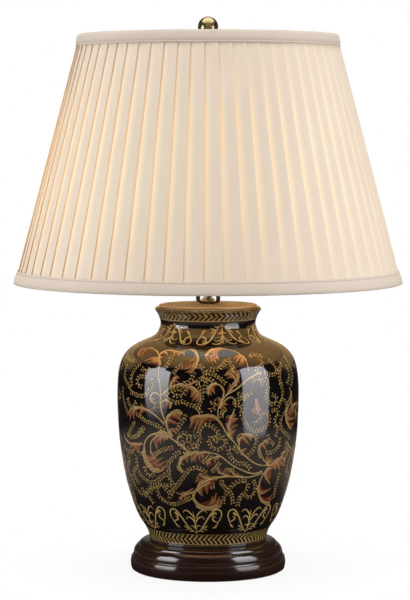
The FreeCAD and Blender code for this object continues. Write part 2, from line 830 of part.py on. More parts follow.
def switch():
    """The push-through bar: its collar stops in the core, a knob closes each end."""
    at = "bar_travel / 2"
    bar = doc.addObject("PartDesign::Body", "switch_bar")
    rod = sketch_on(bar, "XZ_Plane")
    circle(rod, "bar_radius")
    padded(bar, rod, "bar_half_length * 2", both=True)
    stop = sketch_on(bar, "XZ_Plane", name="StopSketch")
    circle(stop, "bar_stop_radius")
    padded(bar, stop, "bar_stop_length", both=True)
    bar.setExpression("Placement.Base.y", bound(at))
    bar.setExpression("Placement.Base.z", bound("bar_level"))
    listed("switch_bar", bar)
    knob = [
        ("0", "0"),
        ("knob_radius", "0"),
        ("knob_radius", "knob_length - knob_round"),
        ("knob_radius - knob_round", "knob_length", "knob_round", 1),
        ("0", "knob_length"),
    ]
    for side, sign, tilt in (("front", "-", 90), ("back", "", -90)):
        piece = turned(f"switch_knob_{side}", knob)
        piece.Placement.Rotation = FreeCAD.Rotation(Vector(1, 0, 0), tilt)
        piece.setExpression("Placement.Base.y", bound(f"{sign}bar_half_length + {at}"))
        piece.setExpression("Placement.Base.z", bound("bar_level"))


def swept(body, wire_radius, steps, start):
    """A round wire along a path in the XZ plane; the path leaves its start (x, level) upright."""
    profile = sketch_on(body, "XY_Plane", start[1], "WireSketch")
    circle(profile, wire_radius, (start[0], "0"))
    path = sketch_on(body, "XZ_Plane", name="PathSketch")
    for step in steps:
        geometry = path.addGeometry(step)
        path.addConstraint(Sketcher.Constraint("Block", geometry))
    pipe = body.newObject("PartDesign::AdditivePipe", "Wire")
    pipe.Profile = profile
    pipe.Spine = (path, [f"Edge{n}" for n in range(1, len(steps) + 1)])
    return pipe


def smooth(points, leave, arrive):
    """A smooth curve through plain points with a given way of leaving and arriving."""
    curve = Part.BSplineCurve()
    spots = [Vector(*p, 0) for p in points]
    curve.interpolate(Points=spots, InitialTangent=Vector(*leave, 0), FinalTangent=Vector(*arrive, 0))
    return curve


def bulb():
    """A screw-in bulb: centre contact, glass insulator, rolled cap, envelope, glass mount, wires, coil."""
    turned(
        "bulb_contact",
        [
            ("0", "bulb_bottom"),
            ("bulb_tip_radius", "bulb_bottom + bulb_tip_height", "bulb_tip_bulge", 1),
            ("0", "insulator_bottom"),
        ],
    )
    turned(
        "bulb_insulator",
        [
            ("0", "insulator_bottom"),
            ("bulb_tip_radius", "insulator_bottom"),
            ("bulb_cap_radius", "bulb_cap_bottom"),
            ("0", "bulb_cap_bottom"),
        ],
    )
    turned(
        "bulb_cap",
        rolled("bulb_cap_radius", "bulb_cap_wall", "bulb_cap_bottom", "bulb_cap_lip", BULB_TURNS, "bulb_cap_skirt"),
    )
    outer, inner = "bulb_glass_radius", "(bulb_glass_radius - bulb_glass_wall)"
    neck = "bulb_neck_radius"
    turned(
        "bulb_glass",
        [
            (neck, "bulb_glass_bottom"),
            (neck, "bulb_centre - sweep_drop"),
            (
                f"sweep_side * {outer} / sweep_reach",
                f"bulb_centre - sweep_drop * {outer} / sweep_reach",
                "bulb_neck_sweep",
                -1,
            ),
            ("0", "bulb_top", outer, 1),
            ("0", "bulb_top - bulb_glass_wall"),
            (
                f"sweep_side * {inner} / sweep_reach",
                f"bulb_centre - sweep_drop * {inner} / sweep_reach",
                inner,
                -1,
            ),
            (f"{neck} - bulb_glass_wall", "bulb_centre - sweep_drop", "bulb_neck_sweep + bulb_glass_wall", 1),
            (f"{neck} - bulb_glass_wall", "bulb_glass_bottom"),
        ],
    )
    flare = "bulb_neck_radius - bulb_glass_wall - layer_gap"
    turned(
        "bulb_mount",
        [
            ("0", "bulb_glass_bottom"),
            (flare, "bulb_glass_bottom"),
            (flare, "bulb_glass_bottom + bulb_glass_wall"),
            ("bulb_mount_radius", "bulb_glass_bottom + bulb_mount_flare"),
            ("bulb_mount_radius", "mount_top"),
            ("0", "mount_top"),
        ],
    )
    spread, place = value("bulb_wire_spread"), value("bulb_wire_place")
    low, high = value("mount_top"), value("mount_top + bulb_wire_rise")
    for side, sign in (("left", -1), ("right", 1)):
        wire = doc.addObject("PartDesign::Body", f"bulb_wire_{side}")
        bow = smooth([(sign * place, low), (sign * spread, high)], (0, 1), (0, 1))
        swept(wire, "bulb_wire_radius", [bow], (f"{sign} * bulb_wire_place", "mount_top"))
        listed(wire.Label, wire)
    coil = doc.addObject("PartDesign::Body", "bulb_filament")
    dip = value("filament_sag")
    hang = [(-spread, high), (0, high + dip), (spread, high)]
    swept(
        coil,
        "filament_radius",
        [smooth(hang, (0, 1), (0, -1))],
        ("-bulb_wire_spread", "mount_top + bulb_wire_rise"),
    )
    listed("bulb_filament", coil)


def harp():
    """The bow that carries the shade: two footed legs, a flattened eye, and a loose sleeve on each leg."""
    body = doc.addObject("PartDesign::Body", "harp_bow")
    span, half = value("harp_span"), value("harp_half_width")
    leg, eye = value("leg_top"), value("eye_level")
    rise = eye - leg
    for side in (1, -1):
        bow = [(side * (span if t == 0 else share * half), leg + t * rise) for t, share in ((0, 1), *HARP_SHARES)]
        bow.append((0, eye))
        start = Vector(side * span, value("foot_top - harp_wire_radius"), 0)
        steps = [
            Part.LineSegment(start, Vector(*bow[0], 0)),
            smooth(bow, (0, 1), (-side, 0)),
        ]
        swept(body, "harp_wire_radius", steps, (f"{side} * harp_span", "foot_top - harp_wire_radius"))
    for side in ("", "-"):
        foot = sketch_on(body, "XY_Plane", "foot_bottom", "FootSketch")
        circle(foot, "harp_foot_radius", (f"{side}harp_span", "0"))
        padded(body, foot, "harp_foot_length")
    eye_sketch = sketch_on(body, "XY_Plane", "eye_bottom", "EyeSketch")
    circle(eye_sketch, "harp_eye_radius")
    padded(body, eye_sketch, "harp_eye_height")
    for side in ("", "-"):
        place = (f"{side}harp_span", "0")
        drilled(
            body, "XY_Plane", "harp_foot_bore", place, "saddle_tip + running_gap - foot_bottom", "foot_bottom", back=True
        )
    hole = "stud_shank_radius + running_gap"
    drilled(body, "XY_Plane", hole, ("0", "0"), "harp_eye_height", "eye_bottom", back=True)
    swung(listed("harp_bow", body))

    bore = "harp_foot_radius + sleeve_slack"
    sleeve_top = "foot_bottom + sleeve_length"
    for side, sign in (("left", "-"), ("right", "")):
        sleeve = turned(
            f"harp_sleeve_{side}",
            [
                (bore, "foot_bottom"),
                (f"{bore} + sleeve_wall + sleeve_bead", "foot_bottom"),
                (f"{bore} + sleeve_wall + sleeve_bead", "foot_bottom + sleeve_lip"),
                (f"{bore} + sleeve_wall", "foot_bottom + sleeve_lip"),
                (f"{bore} + sleeve_wall", sleeve_top),
                ("harp_wire_radius + sleeve_slack", sleeve_top),
                ("harp_wire_radius + sleeve_slack", f"{sleeve_top} - sleeve_lip"),
                (bore, f"{sleeve_top} - sleeve_lip"),
            ],
        )
        swung(sleeve, f"{sign}harp_span")

    turned(
        "harp_stud",
        [
            ("0", "eye_bottom - running_gap - stud_head_height"),
            ("stud_head_radius", "eye_bottom - running_gap - stud_head_height"),
            ("stud_head_radius", "eye_bottom - running_gap"),
            ("stud_shank_radius", "eye_bottom - running_gap"),
            ("stud_shank_radius", "flange_bottom"),
            ("stud_flange_radius", "flange_bottom"),
            ("stud_flange_radius", "flange_top"),
            ("stud_thread_radius", "flange_top"),
            ("stud_thread_radius", "stud_top"),
            ("0", "stud_top"),
        ],
    )


def cone(inset, level):
    """The radius of the shade's cone at a level, moved in square to the axis by an inset."""
    return f"shade_bottom_radius - ({inset}) - shade_slope * (({level}) - shade_bottom_level)"


def pleated_cover():
    """The knife-pleated cloth: every fold laps over the tuck of the next, from hem to hem."""
    wires = []
    turn = 2 * math.pi / PLEATS
    for level in ("pleat_bottom", "pleat_top"):
        rim, height = value(cone("0", level)), value(level)
        tuck = value("pleat_tuck") / value("shade_bottom_radius")
        spots = []
        for k in range(PLEATS):
            for radius, angle in (
                (rim, k * turn),
                (rim - value("pleat_fold"), k * turn),
                (rim - value("pleat_depth"), k * turn - tuck),
            ):
                spots.append(Vector(radius * math.cos(angle), radius * math.sin(angle), height))
        wires.append(Part.makePolygon(spots + spots[:1]))
    folds = Part.makeLoft(wires, True, True)
    hollow = []
    for level in ("pleat_bottom", "pleat_top"):
        reach, height = value(cone("pleat_inset", level)) / math.cos(math.pi / PLEATS), value(level)
        spots = [Vector(reach * math.cos(k * turn), reach * math.sin(k * turn), height) for k in range(PLEATS)]
        hollow.append(Part.makePolygon(spots + spots[:1]))
    core = Part.makeLoft(hollow, True, True)
    cover = doc.addObject("Part::Feature", "shade_pleats")
    cover.Shape = folds.cut(core)
    listed("shade_pleats", cover)


def tape(label, edge, way, height):
    """A tape folded over an edge of the shade; way is 1 at the bottom edge and -1 at the top."""
    near = "layer_gap + tape_thickness"
    inner_end, outer_end = f"{edge} + ({way}) * tape_turn_in", f"{edge} + ({way}) * {height}"
    fold = f"{edge} + ({way}) * tape_thickness"
    return turned(
        label,
        [
            (cone("tape_inset + tape_thickness", edge), edge),
            (cone(f"-({near})", edge), edge),
            (cone(f"-({near})", outer_end), outer_end),
            (cone("-layer_gap", outer_end), outer_end),
            (cone("-layer_gap", fold), fold),
            (cone("tape_inset", fold), fold),
            (cone("tape_inset", inner_end), inner_end),
            (cone("tape_inset + tape_thickness", inner_end), inner_end),
        ],
    )


def shade():
    """Lining, pleated cover, the two edge tapes, the bottom ring and the spider with the top ring."""
    turned(
        "shade_lining",
        [
            (cone("lining_inset", "pleat_bottom"), "pleat_bottom"),
            (cone("lining_outset", "pleat_bottom"), "pleat_bottom"),
            (cone("lining_outset", "pleat_top"), "pleat_top"),
            (cone("lining_inset", "pleat_top"), "pleat_top"),
        ],
    )
    pleated_cover()
    tape("shade_bottom_tape", "shade_bottom_level", 1, "tape_height")
    tape("shade_top_tape", "shade_top_level", -1, "tape_top_height")

    low_ring = doc.addObject("PartDesign::Body", "shade_bottom_ring")
    wire_ring(low_ring, cone("ring_inset", "low_ring_level"), "low_ring_level")
    listed("shade_bottom_ring", low_ring)

    spider = doc.addObject("PartDesign::Body", "shade_spider")
    rim = cone("ring_inset", "top_ring_level")
    wire_ring(spider, rim, "top_ring_level")
    hub = sketch_on(spider, "XY_Plane", "hub_bottom", "HubSketch")
    circle(hub, "hub_radius")
    padded(spider, hub, "hub_thickness")
    inner_end = "hub_radius - spider_wire_radius"
    arm = sketch_on(spider, "YZ_Plane", inner_end, "ArmSketch")
    circle(arm, "spider_wire_radius", ("0", "spider_level"))
    arms = body_pattern(spider, padded(spider, arm, f"{rim} - ({inner_end})"), hub, SPIDER_ARMS)
    spider.Tip = arms
    hole = "stud_thread_radius + running_gap"
    drilled(spider, "XY_Plane", hole, ("0", "0"), "hub_thickness * 3", "hub_bottom", both=True)
    listed("shade_spider", spider)


def body_pattern(body, feature, sketch, count):
    """Repeats a feature round the lamp's axis."""
    pattern = body.newObject("PartDesign::PolarPattern", "Arms")
    pattern.Originals = [feature]
    pattern.Axis = (sketch, ["N_Axis"])
    pattern.Angle = 360
    pattern.Occurrences = count
    return pattern


def wire_ring(body, radius, level):
    """A round wire bent into a ring about the lamp's axis."""
    sketch = sketch_on(body, "XZ_Plane", name="RingSketch")
    circle(sketch, "ring_wire_radius", (radius, level))
    turn = body.newObject("PartDesign::Revolution", "Ring")
    turn.Profile = sketch
    turn.ReferenceAxis = (sketch, ["V_Axis"])
    turn.Angle = 360


def finial():
    """The domed brass nut that clamps the shade, and the washer under it."""
    bore = "stud_thread_radius + running_gap"
    ring("finial_washer", bore, "finial_washer_radius", "washer_bottom", "washer_bottom + finial_washer_thickness")
    base = "finial_bottom"
    turned(
        "finial",
        [
            (bore, base),
            ("finial_collar_radius", base),
            ("finial_collar_radius", f"{base} + finial_collar_height"),
            ("finial_waist_radius", f"{base} + finial_waist_level", "finial_collar_height * 2", -1),
            ("finial_dome_radius", f"{base} + finial_under_level", "finial_under_bulge", -1),
            ("finial_dome_radius", f"{base} + finial_dome_level"),
            ("0", f"{base} + finial_height", "finial_dome_radius", 1),
            ("0", f"{base} + finial_bore_depth"),
            (bore, f"{base} + finial_bore_depth"),
        ],
    )


felt_and_base()
lead_gland()
clamping_stack()
jar()
jar_cap()
saddle()
lampholder()
switch()
bulb()
harp()
shade()
finial()
doc.recompute()

broken = [o.Name for o in doc.Objects if "Invalid" in o.State or "Error" in o.State]
for piece in parts:
    shape = piece.Shape
    if shape.isNull() or not shape.isValid() or len(shape.Solids) != 1:
        broken.append(piece.Label)
if broken:
    raise RuntimeError("pieces that did not build: " + ", ".join(broken))

os.makedirs("parts", exist_ok=True)
for piece in parts:
    piece.Shape.exportStep(f"parts/{piece.Label}.step")
print(len(parts), "pieces written")
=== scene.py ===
"""Looks of a jar table lamp round its frame: turned wood, painted glaze, pleated cloth and brass.

Lengths are in metres in the frame's own axes. Outlines are given in millimetres, as (radius, height) pairs,
and the painting is drawn through points on the lamp as it stands in front of the camera.
"""

import math
import random

import bpy
import numpy as np
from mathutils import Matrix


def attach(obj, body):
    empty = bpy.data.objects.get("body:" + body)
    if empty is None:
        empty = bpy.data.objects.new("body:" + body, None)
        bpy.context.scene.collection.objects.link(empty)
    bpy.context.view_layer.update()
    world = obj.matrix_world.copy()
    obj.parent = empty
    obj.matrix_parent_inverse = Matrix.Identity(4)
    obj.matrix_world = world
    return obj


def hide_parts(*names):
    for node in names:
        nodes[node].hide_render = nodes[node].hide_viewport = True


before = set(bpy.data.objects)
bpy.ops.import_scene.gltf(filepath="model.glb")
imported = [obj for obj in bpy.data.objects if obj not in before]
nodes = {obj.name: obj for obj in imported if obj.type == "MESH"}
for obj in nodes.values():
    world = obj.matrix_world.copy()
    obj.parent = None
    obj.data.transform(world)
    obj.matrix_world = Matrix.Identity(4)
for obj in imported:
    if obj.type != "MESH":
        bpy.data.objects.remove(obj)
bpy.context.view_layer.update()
MM = 0.001


# Colours and materials


def ink(red, green, blue):
    """A colour as it looks on screen, 0 to 255, turned into the linear colour that a shader takes."""
    parts = [c / 255 for c in (red, green, blue)]
    return (*(((c + 0.055) / 1.055) ** 2.4 if c > 0.04 else c / 12.92 for c in parts), 1.0)


class Reading:
    """An output of a material's nodes. Sums and products of readings add the Math nodes for them."""

    def __init__(self, finish, socket):
        self.finish = finish
        self.socket = socket

    def maths(self, operation, *terms):
        return self.finish.node("ShaderNodeMath", {"operation": operation}, dict(enumerate(terms)))

    def __add__(self, other):
        return self.maths("ADD", self, other)

    def __mul__(self, other):
        return self.maths("MULTIPLY", self, other)

    def __sub__(self, other):
        return self.maths("SUBTRACT", self, other)

    def __rsub__(self, other):
        return self.maths("SUBTRACT", other, self)

    def __truediv__(self, other):
        return self.maths("DIVIDE", self, other)

    def __pow__(self, other):
        return self.maths("POWER", self, other)

    __radd__ = __add__
    __rmul__ = __mul__

    def sine(self):
        return self.maths("SINE", self)

    def size(self):
        return self.maths("ABSOLUTE", self)

    def clamp(self):
        return self.maths("MINIMUM", self.maths("MAXIMUM", self, 0.0), 1.0)

    def between(self, low, high):
        """0 at low, 1 at high, smooth in between and level outside."""
        settings = {"interpolation_type": "SMOOTHSTEP"}
        limits = {"Value": self, "From Min": low, "From Max": high}
        return self.finish.node("ShaderNodeMapRange", settings, limits)


class Finish:
    """One material, put together node by node."""

    def __init__(self, name):
        self.material = bpy.data.materials.new(name)
        self.material.use_nodes = True
        self.tree = self.material.node_tree
        self.shader = self.tree.nodes["Principled BSDF"]
        self.place = self.node("ShaderNodeTexCoord", output="Object")

    def node(self, kind, settings=(), sockets=(), output=0):
        """Adds a node: its own settings first, then the value or link of each socket that is named."""
        made = self.tree.nodes.new(kind)
        for name, setting in dict(settings).items():
            if name == "stops":
                self.fill(made.color_ramp, setting)
            else:
                setattr(made, name, setting)
        for name, what in dict(sockets).items():
            self.feed(made.inputs[name], what)
        return Reading(self, made.outputs[output])

    def feed(self, socket, what):
        if isinstance(what, Reading):
            self.tree.links.new(what.socket, socket)
        else:
            socket.default_value = what

    def fill(self, ramp, stops):
        while len(ramp.elements) < len(stops):
            ramp.elements.new(1.0)
        for element, (place, colour) in zip(ramp.elements, stops):
            element.position = place
            element.color = colour

    def ramp(self, reading, *stops):
        """Colours laid out along a reading from 0 to 1."""
        return self.node("ShaderNodeValToRGB", {"stops": stops}, {0: reading}, "Color")

    def mix(self, share, first, second, blend="MIX"):
        """A colour on the way from the first to the second."""
        settings = {"data_type": "RGBA", "blend_type": blend}
        return self.node("ShaderNodeMix", settings, {0: share, 6: first, 7: second}, 2)

    def scaled(self, vector, *sides):
        return self.node("ShaderNodeVectorMath", {"operation": "MULTIPLY"}, {0: vector, 1: sides})

    def noise(self, scale, detail=2.0, roughness=0.5, along=None, distortion=0.0):
        sockets = {"Vector": along or self.place, "Scale": scale, "Detail": detail, "Roughness": roughness}
        return self.node("ShaderNodeTexNoise", (), {**sockets, "Distortion": distortion})

    def flecks(self, scale, along=None):
        """Distance to the nearest of many scattered points."""
        sockets = {"Vector": along or self.place, "Scale": scale}
        return self.node("ShaderNodeTexVoronoi", (), sockets, "Distance")

    def axis(self, name, vector=None):
        return self.node("ShaderNodeSeparateXYZ", (), {0: vector or self.place}, name)

    def away(self):
        """Distance from the lamp's axis."""
        x, y = self.axis("X"), self.axis("Y")
        return (x * x + y * y) ** 0.5

    def attribute(self, name):
        return self.node("ShaderNodeAttribute", {"attribute_name": name}, (), "Fac")

    def rays(self):
        """Whether the camera looks this way, straight or through glass, and whether gloss does."""
        kinds = ("Is Camera Ray", "Is Glossy Ray", "Is Transmission Ray")
        by_camera, by_gloss, by_glass = (self.node("ShaderNodeLightPath", output=kind) for kind in kinds)
        return by_camera.maths("MAXIMUM", by_camera, by_glass), by_gloss

    def cover(self, share, under, over):
        """Makes the surface a share of one shader over another."""
        mixed = self.node("ShaderNodeMixShader", (), {0: share, 1: under, 2: over})
        self.feed(self.tree.nodes["Material Output"].inputs["Surface"], mixed)
        return self.material

    def relief(self, height, depth, strength=1.0):
        """A bump from a height reading; depth is its full height in metres."""
        sockets = {"Height": height, "Distance": depth, "Strength": strength}
        return self.node("ShaderNodeBump", (), sockets, "Normal")

    def paint(self, **channels):
        """Sets the shader's sockets; base_color stands for Base Color, and so on."""
        for name, what in channels.items():
            socket = name.replace("_", " ").title().replace("Ior", "IOR")
            self.feed(self.shader.inputs[socket], what)
        return self.material


def coated(gloss, roughness, ior):
    """The sockets of a clear coat, over a ground with a little gloss of its own."""
    return {"specular_ior_level": gloss, "coat_weight": 1.0, "coat_roughness": roughness, "coat_ior": ior}


def glaze_finish():
    """Black glaze under a clear coat, with the faint unevenness of a fired surface."""
    f = Finish("black_glaze")
    clouds = f.noise(22.0, 3.0)
    specks = f.flecks(900.0).between(0.09, 0.03)
    ripple = f.noise(60.0, 2.0) + f.noise(420.0, 2.0) * 0.12
    black = f.ramp(clouds, (0.3, ink(7, 5, 6)), (0.7, ink(16, 12, 14)))
    return f.paint(
        base_color=f.mix(specks * 0.4, black, ink(50, 42, 34)),
        roughness=f.noise(45.0, 4.0).between(0.2, 0.8) * 0.1 + 0.4,
        normal=f.relief(ripple, 0.00006, 0.25),
        **coated(0.0, 0.03, 1.85),
    )


def enamel_finish(name, *stops):
    """Brushed-on enamel under the clear glaze; the brush's hairs and its load vary along each stroke."""
    f = Finish(name)
    load = f.noise(420.0, 4.0, 0.6)
    hairs_to_a_metre, sway = 7200.0, 5.0
    hairs = (f.attribute("hair") * hairs_to_a_metre + f.noise(160.0, 2.0) * sway).sine()
    tone = f.attribute("tone") + (load - 0.5) * 0.30 + hairs * 0.10
    worn = f.noise(1500.0, 2.0).between(0.58, 0.74) * 0.5
    return f.paint(
        base_color=f.mix(worn, f.ramp(tone.clamp(), *stops), ink(46, 30, 20)),
        roughness=load * 0.12 + 0.30,
        normal=f.relief(load + hairs * 0.2, 0.00008, 0.35),
        **coated(0.1, 0.03, 1.85),
    )


def wood_finish():
    """Mahogany, stained and lacquered, with its grain straight across the turned base."""
    f = Finish("mahogany")
    along = f.scaled(f.place, 9.0, 95.0, 95.0)
    bands = f.noise(1.0, 5.0, 0.62, f.scaled(f.place, 5.0, 60.0, 60.0), 0.8)
    pores = f.noise(9.0, 3.0, 0.5, along).between(0.60, 0.72)
    streaks = f.noise(3.0, 4.0, 0.6, along)
    stain = f.ramp(
        bands * 0.7 + streaks * 0.3,
        (0.25, ink(17, 6, 3)),
        (0.48, ink(33, 12, 7)),
        (0.62, ink(46, 18, 10)),
        (0.80, ink(24, 9, 5)),
    )
    return f.paint(
        base_color=f.mix(pores * 0.6, stain, ink(12, 6, 5)),
        roughness=streaks * 0.12 + 0.34,
        normal=f.relief(pores * -1.0 + f.noise(30.0) * 0.6, 0.00008, 0.3),
        **coated(0.1, 0.11, 1.9),
    )


def metal_finish(name, light, dark, roughness, rings=0.0, wear=0.5):
    """A metal whose polish and colour vary a little, with fine turning rings where it was spun."""
    f = Finish(name)
    haze = f.noise(55.0, 5.0, 0.6)
    scratches = f.noise(14.0, 3.0, 0.5, f.scaled(f.place, 12.0, 12.0, 140.0))
    height = scratches * 0.4
    if rings:
        height = height + (f.away() * (2 * math.pi / rings)).sine() * 0.5
    return f.paint(
        base_color=f.mix(haze.between(0.35, 0.75) * wear, light, dark),
        metallic=1.0,
        roughness=haze * 0.16 + scratches * 0.08 + roughness,
        normal=f.relief(height, 0.00004, 0.5),
    )


def plastic_finish(name, light, dark, roughness=0.35):
    """Moulded plastic, rubber or card with a fine grain."""
    f = Finish(name)
    grain = f.noise(900.0, 3.0)
    return f.paint(
        base_color=f.mix(f.noise(60.0, 4.0).between(0.3, 0.7), light, dark),
        roughness=grain * 0.15 + roughness,
        normal=f.relief(grain, 0.00005, 0.4),
    )


def felt_finish():
    """Pressed felt: short tangled hairs with a soft edge to the light."""
    f = Finish("felt")
    hairs = f.noise(1400.0, 5.0, 0.7, None, 1.5)
    return f.paint(
        base_color=f.ramp(hairs, (0.3, ink(14, 28, 20)), (0.7, ink(40, 62, 48))),
        roughness=hairs * 0.1 + 0.88,
        normal=f.relief(hairs, 0.0004, 0.8),
        sheen_weight=0.5,
        sheen_roughness=0.5,
    )


# Threads to a metre and the length of a stitch in metres
THREADS, STITCH = 2600.0, 0.0030


def cloth_finish(name, pale, shade, glow=0.0, seam=0.0):
    """Fine silk-like cloth, woven and stitched along its own map in metres.

    Its third argument is the strength of lamplight painted on as emission, standing in for the light a
    single layer passes and brightest round the bulb's height; seam is how far a stitched line lies from its
    edge.
    """
    f = Finish(name)
    flat = f.node("ShaderNodeUVMap", output="UV")
    across, down = f.axis("X", flat), f.axis("Y", flat)
    warp, weft = ((way * THREADS * math.pi).sine() for way in (across, down))
    slub = f.noise(1.0, 3.0, 0.6, f.scaled(flat, 60.0, 900.0, 1.0))
    weave = warp * warp * 0.5 + weft * weft * 0.5 + slub * 0.6
    clouds = f.noise(9.0, 2.0, 0.5, flat)
    threads = f.noise(1.0, 2.0, 0.5, f.scaled(flat, 2400.0, 40.0, 1.0))
    tint = f.mix(clouds.between(0.3, 0.7) * 0.15 + threads * 0.35, pale, shade)
    channels = {}
    if seam:
        line = (down - seam).size().between(0.0006, 0.0002)
        stitch = line * ((across * (2 * math.pi / STITCH)).sine() * 1.5 + 0.6).clamp()
        tint = f.mix(line * 0.30 + stitch * 0.15, tint, ink(150, 128, 104))
        weave = weave - stitch * 1.5
    if glow:
        # Painted lamplight: emission brighter round the bulb's height, standing in for light coming through
        # the cloth
        centre, reach = 0.455, 0.14
        painted_lamplight = f.attribute("glow")
        middle = 1.0 - ((f.axis("Z") - centre) * (1 / reach)).size().between(0.2, 1.0)
        amount = painted_lamplight * (middle * 0.65 + 0.35) * (threads * 0.3 + 0.85)
        channels["emission_color"] = f.mix(amount.clamp(), ink(0, 0, 0), ink(255, 210, 134))
        channels["emission_strength"] = glow
    return f.paint(
        base_color=tint,
        roughness=weave * 0.1 + 0.74,
        normal=f.relief(weave, 0.00008, 0.45),
        sheen_weight=0.12,
        sheen_roughness=0.4,
        **channels,
    )


def opal_finish():
    """A lit bulb's frosted envelope, brightest round the middle."""
    f = Finish("bulb_glass")
    centre, reach = 0.443, 0.06
    middle = 1.0 - ((f.axis("Z") - centre) * (1 / reach)).size().between(0.1, 1.0)
    frost = f.noise(800.0, 3.0)
    light = f.ramp(middle, (0.0, ink(190, 130, 62)), (0.5, ink(232, 180, 104)), (1.0, ink(250, 222, 160)))
    return f.paint(
        base_color=f.mix(frost, ink(150, 126, 88), ink(164, 140, 100)),
        roughness=frost * 0.1 + 0.3,
        emission_color=light,
        emission_strength=0.9,
        normal=f.relief(frost, 0.00003, 0.3),
    )


def clear_finish():
    """Clear glass with faint drawing streaks."""
    f = Finish("clear_glass")
    streak = f.noise(300.0, 2.0)
    return f.paint(
        base_color=f.mix(streak, ink(236, 240, 240), ink(255, 255, 255)),
        roughness=streak * 0.05 + 0.03,
        transmission_weight=0.9,
        normal=f.relief(streak, 0.00002, 0.3),
    )


def glowing_finish():
    """A lit filament, paler on the crests of its coil."""
    f = Finish("filament")
    turns_of_coil = 9000.0
    coil = (f.axis("X") * turns_of_coil).sine()
    crest = coil * 0.5 + 0.5
    return f.paint(
        base_color=f.mix(crest, ink(255, 200, 120), ink(120, 80, 40)),
        roughness=coil * 0.1 + 0.5,
        emission_color=f.mix(crest, ink(255, 225, 160), ink(255, 170, 80)),
        emission_strength=4.0,
    )


WHITE = (1.0, 1.0, 1.0, 1.0)


def floor_finish():
    """Pale paper that keeps the lamp's shadow near it and runs out into the white behind; to gloss and
    bounced light it shows a painted shadow round the lamp and a painted pool of light past it.
    """
    f = Finish("paper_floor")
    y, away = f.axis("Y"), f.away()
    seen, by_gloss = f.rays()
    far = away.between(0.09, 0.26) * 0.12 + 0.88
    share = seen * far + by_gloss * y.between(0.5, 1.2) * (y / away).between(0.95, 0.99)
    grain = f.noise(500.0, 4.0)
    paper = f.mix(grain, ink(246, 245, 243), ink(252, 251, 250))
    # Painted shadow and pool of light: dark right round the lamp, brighter in a ring past it, dark again far
    # out
    painted_pool_mask = away.between(0.24, 0.42) * (1.0 - away.between(0.7, 1.1))
    painted_shadow_pool = f.mix(painted_pool_mask, ink(42, 35, 31), ink(128, 117, 108))
    f.paint(
        base_color=f.mix(seen, painted_shadow_pool, paper),
        roughness=0.9,
        normal=f.relief(grain, 0.0001, 0.2),
    )
    white = f.node("ShaderNodeEmission", (), {"Color": WHITE, "Strength": 1.0})
    return f.cover(share, Reading(f, f.shader.outputs[0]), white)


def panel_finish(name, strength, colour, low_fade):
    """A painted reflection of a softbox's face, soft at its edges and rounded at its corners, as the glaze
    mirrors it.
    """
    f = Finish(name)
    flat = f.node("ShaderNodeUVMap", output="UV")
    across, up = f.axis("X", flat), f.axis("Y", flat)
    side = (across * 2.0 - 1.0).size() / (1.0 - up.between(0.64, 0.75) * 0.55)
    level = (up * 2.0 - 1.0).size()
    round_off = (side**6.0 + level**6.0) ** (1 / 6)
    ends = (up.between(0.0, low_fade) * 0.75 + 0.25) * (up * 1.4 + 0.34).clamp()
    mask = round_off.between(1.0, 0.86) * ends * (1.0 - up.between(0.74, 0.94) * 0.8)
    grain = f.noise(6.0, 2.0) * 0.3 + 0.75
    light = f.node("ShaderNodeEmission", (), {"Color": colour, "Strength": strength})
    return f.cover((mask * grain).clamp(), f.node("ShaderNodeBsdfTransparent"), light)


ENAMELS = {
    "gold_enamel": (
        (0.00, ink(206, 184, 124)),
        (0.20, ink(150, 130, 82)),
        (0.42, ink(138, 88, 48)),
        (0.62, ink(136, 64, 38)),
        (0.80, ink(76, 32, 20)),
        (1.00, ink(20, 11, 9)),
    ),
    "straw_enamel": (
        (0.00, ink(236, 208, 134)),
        (0.28, ink(186, 156, 90)),
        (0.62, ink(98, 80, 46)),
        (1.00, ink(30, 24, 14)),
    ),
}
PLASTICS = {
    "black_plastic": (ink(22, 22, 23), ink(34, 33, 34)),
    "black_rubber": (ink(20, 20, 20), ink(34, 34, 33), 0.7),
    "liner_card": (ink(190, 172, 140), ink(160, 140, 108), 0.75),
    "black_glass": (ink(14, 14, 16), ink(24, 24, 27), 0.1),
    "white_wire": (ink(232, 230, 224), ink(214, 210, 202), 0.3),
}
METALS = {
    "zinc_steel": (ink(186, 186, 182), ink(140, 138, 130), 0.28),
    "antique_brass": (ink(232, 208, 168), ink(216, 188, 146), 0.46, 0.0016, 0.3),
    "dark_brass": (ink(92, 68, 50), ink(48, 34, 26), 0.22),
    "gilt_rim": (ink(164, 150, 116), ink(136, 116, 80), 0.40),
    "brass": (ink(222, 206, 160), ink(196, 172, 118), 0.15, 0.0, 0.4),
    "nickel": (ink(205, 200, 190), ink(168, 160, 148), 0.16),
}
CLOTHS = {
    # The pleated cloth's third number is the strength of its painted lamplight
    "pleated_cloth": (ink(229, 214, 195), ink(214, 197, 176), 0.33),
    "edge_tape": (ink(213, 199, 185), ink(198, 183, 169), 0.0, 0.0022),
    "shade_lining": (ink(222, 210, 184), ink(210, 196, 166)),
}

finishes = {
    "felt": felt_finish(),
    "mahogany": wood_finish(),
    "black_glaze": glaze_finish(),
    "bulb_glass": opal_finish(),
    "clear_glass": clear_finish(),
    "filament": glowing_finish(),
}
for make, kinds in (
    (enamel_finish, ENAMELS),
    (plastic_finish, PLASTICS),
    (metal_finish, METALS),
    (cloth_finish, CLOTHS),
):
    finishes.update({name: make(name, *values) for name, values in kinds.items()})


# Shaping pieces


def start_clean():
    bpy.ops.object.select_all(action="DESELECT")


def current():
    return bpy.context.view_layer.objects.active


def finish_piece(piece, name, finish, body, *replaced):
    """Names a finished piece, gives it its material and hangs it on a body of the lamp."""
    piece.name = name
    piece.data.name = name
    piece.data.materials.clear()
    piece.data.materials.append(finishes[finish])
    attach(piece, body)
    if replaced:
        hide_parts(*replaced)
    return piece


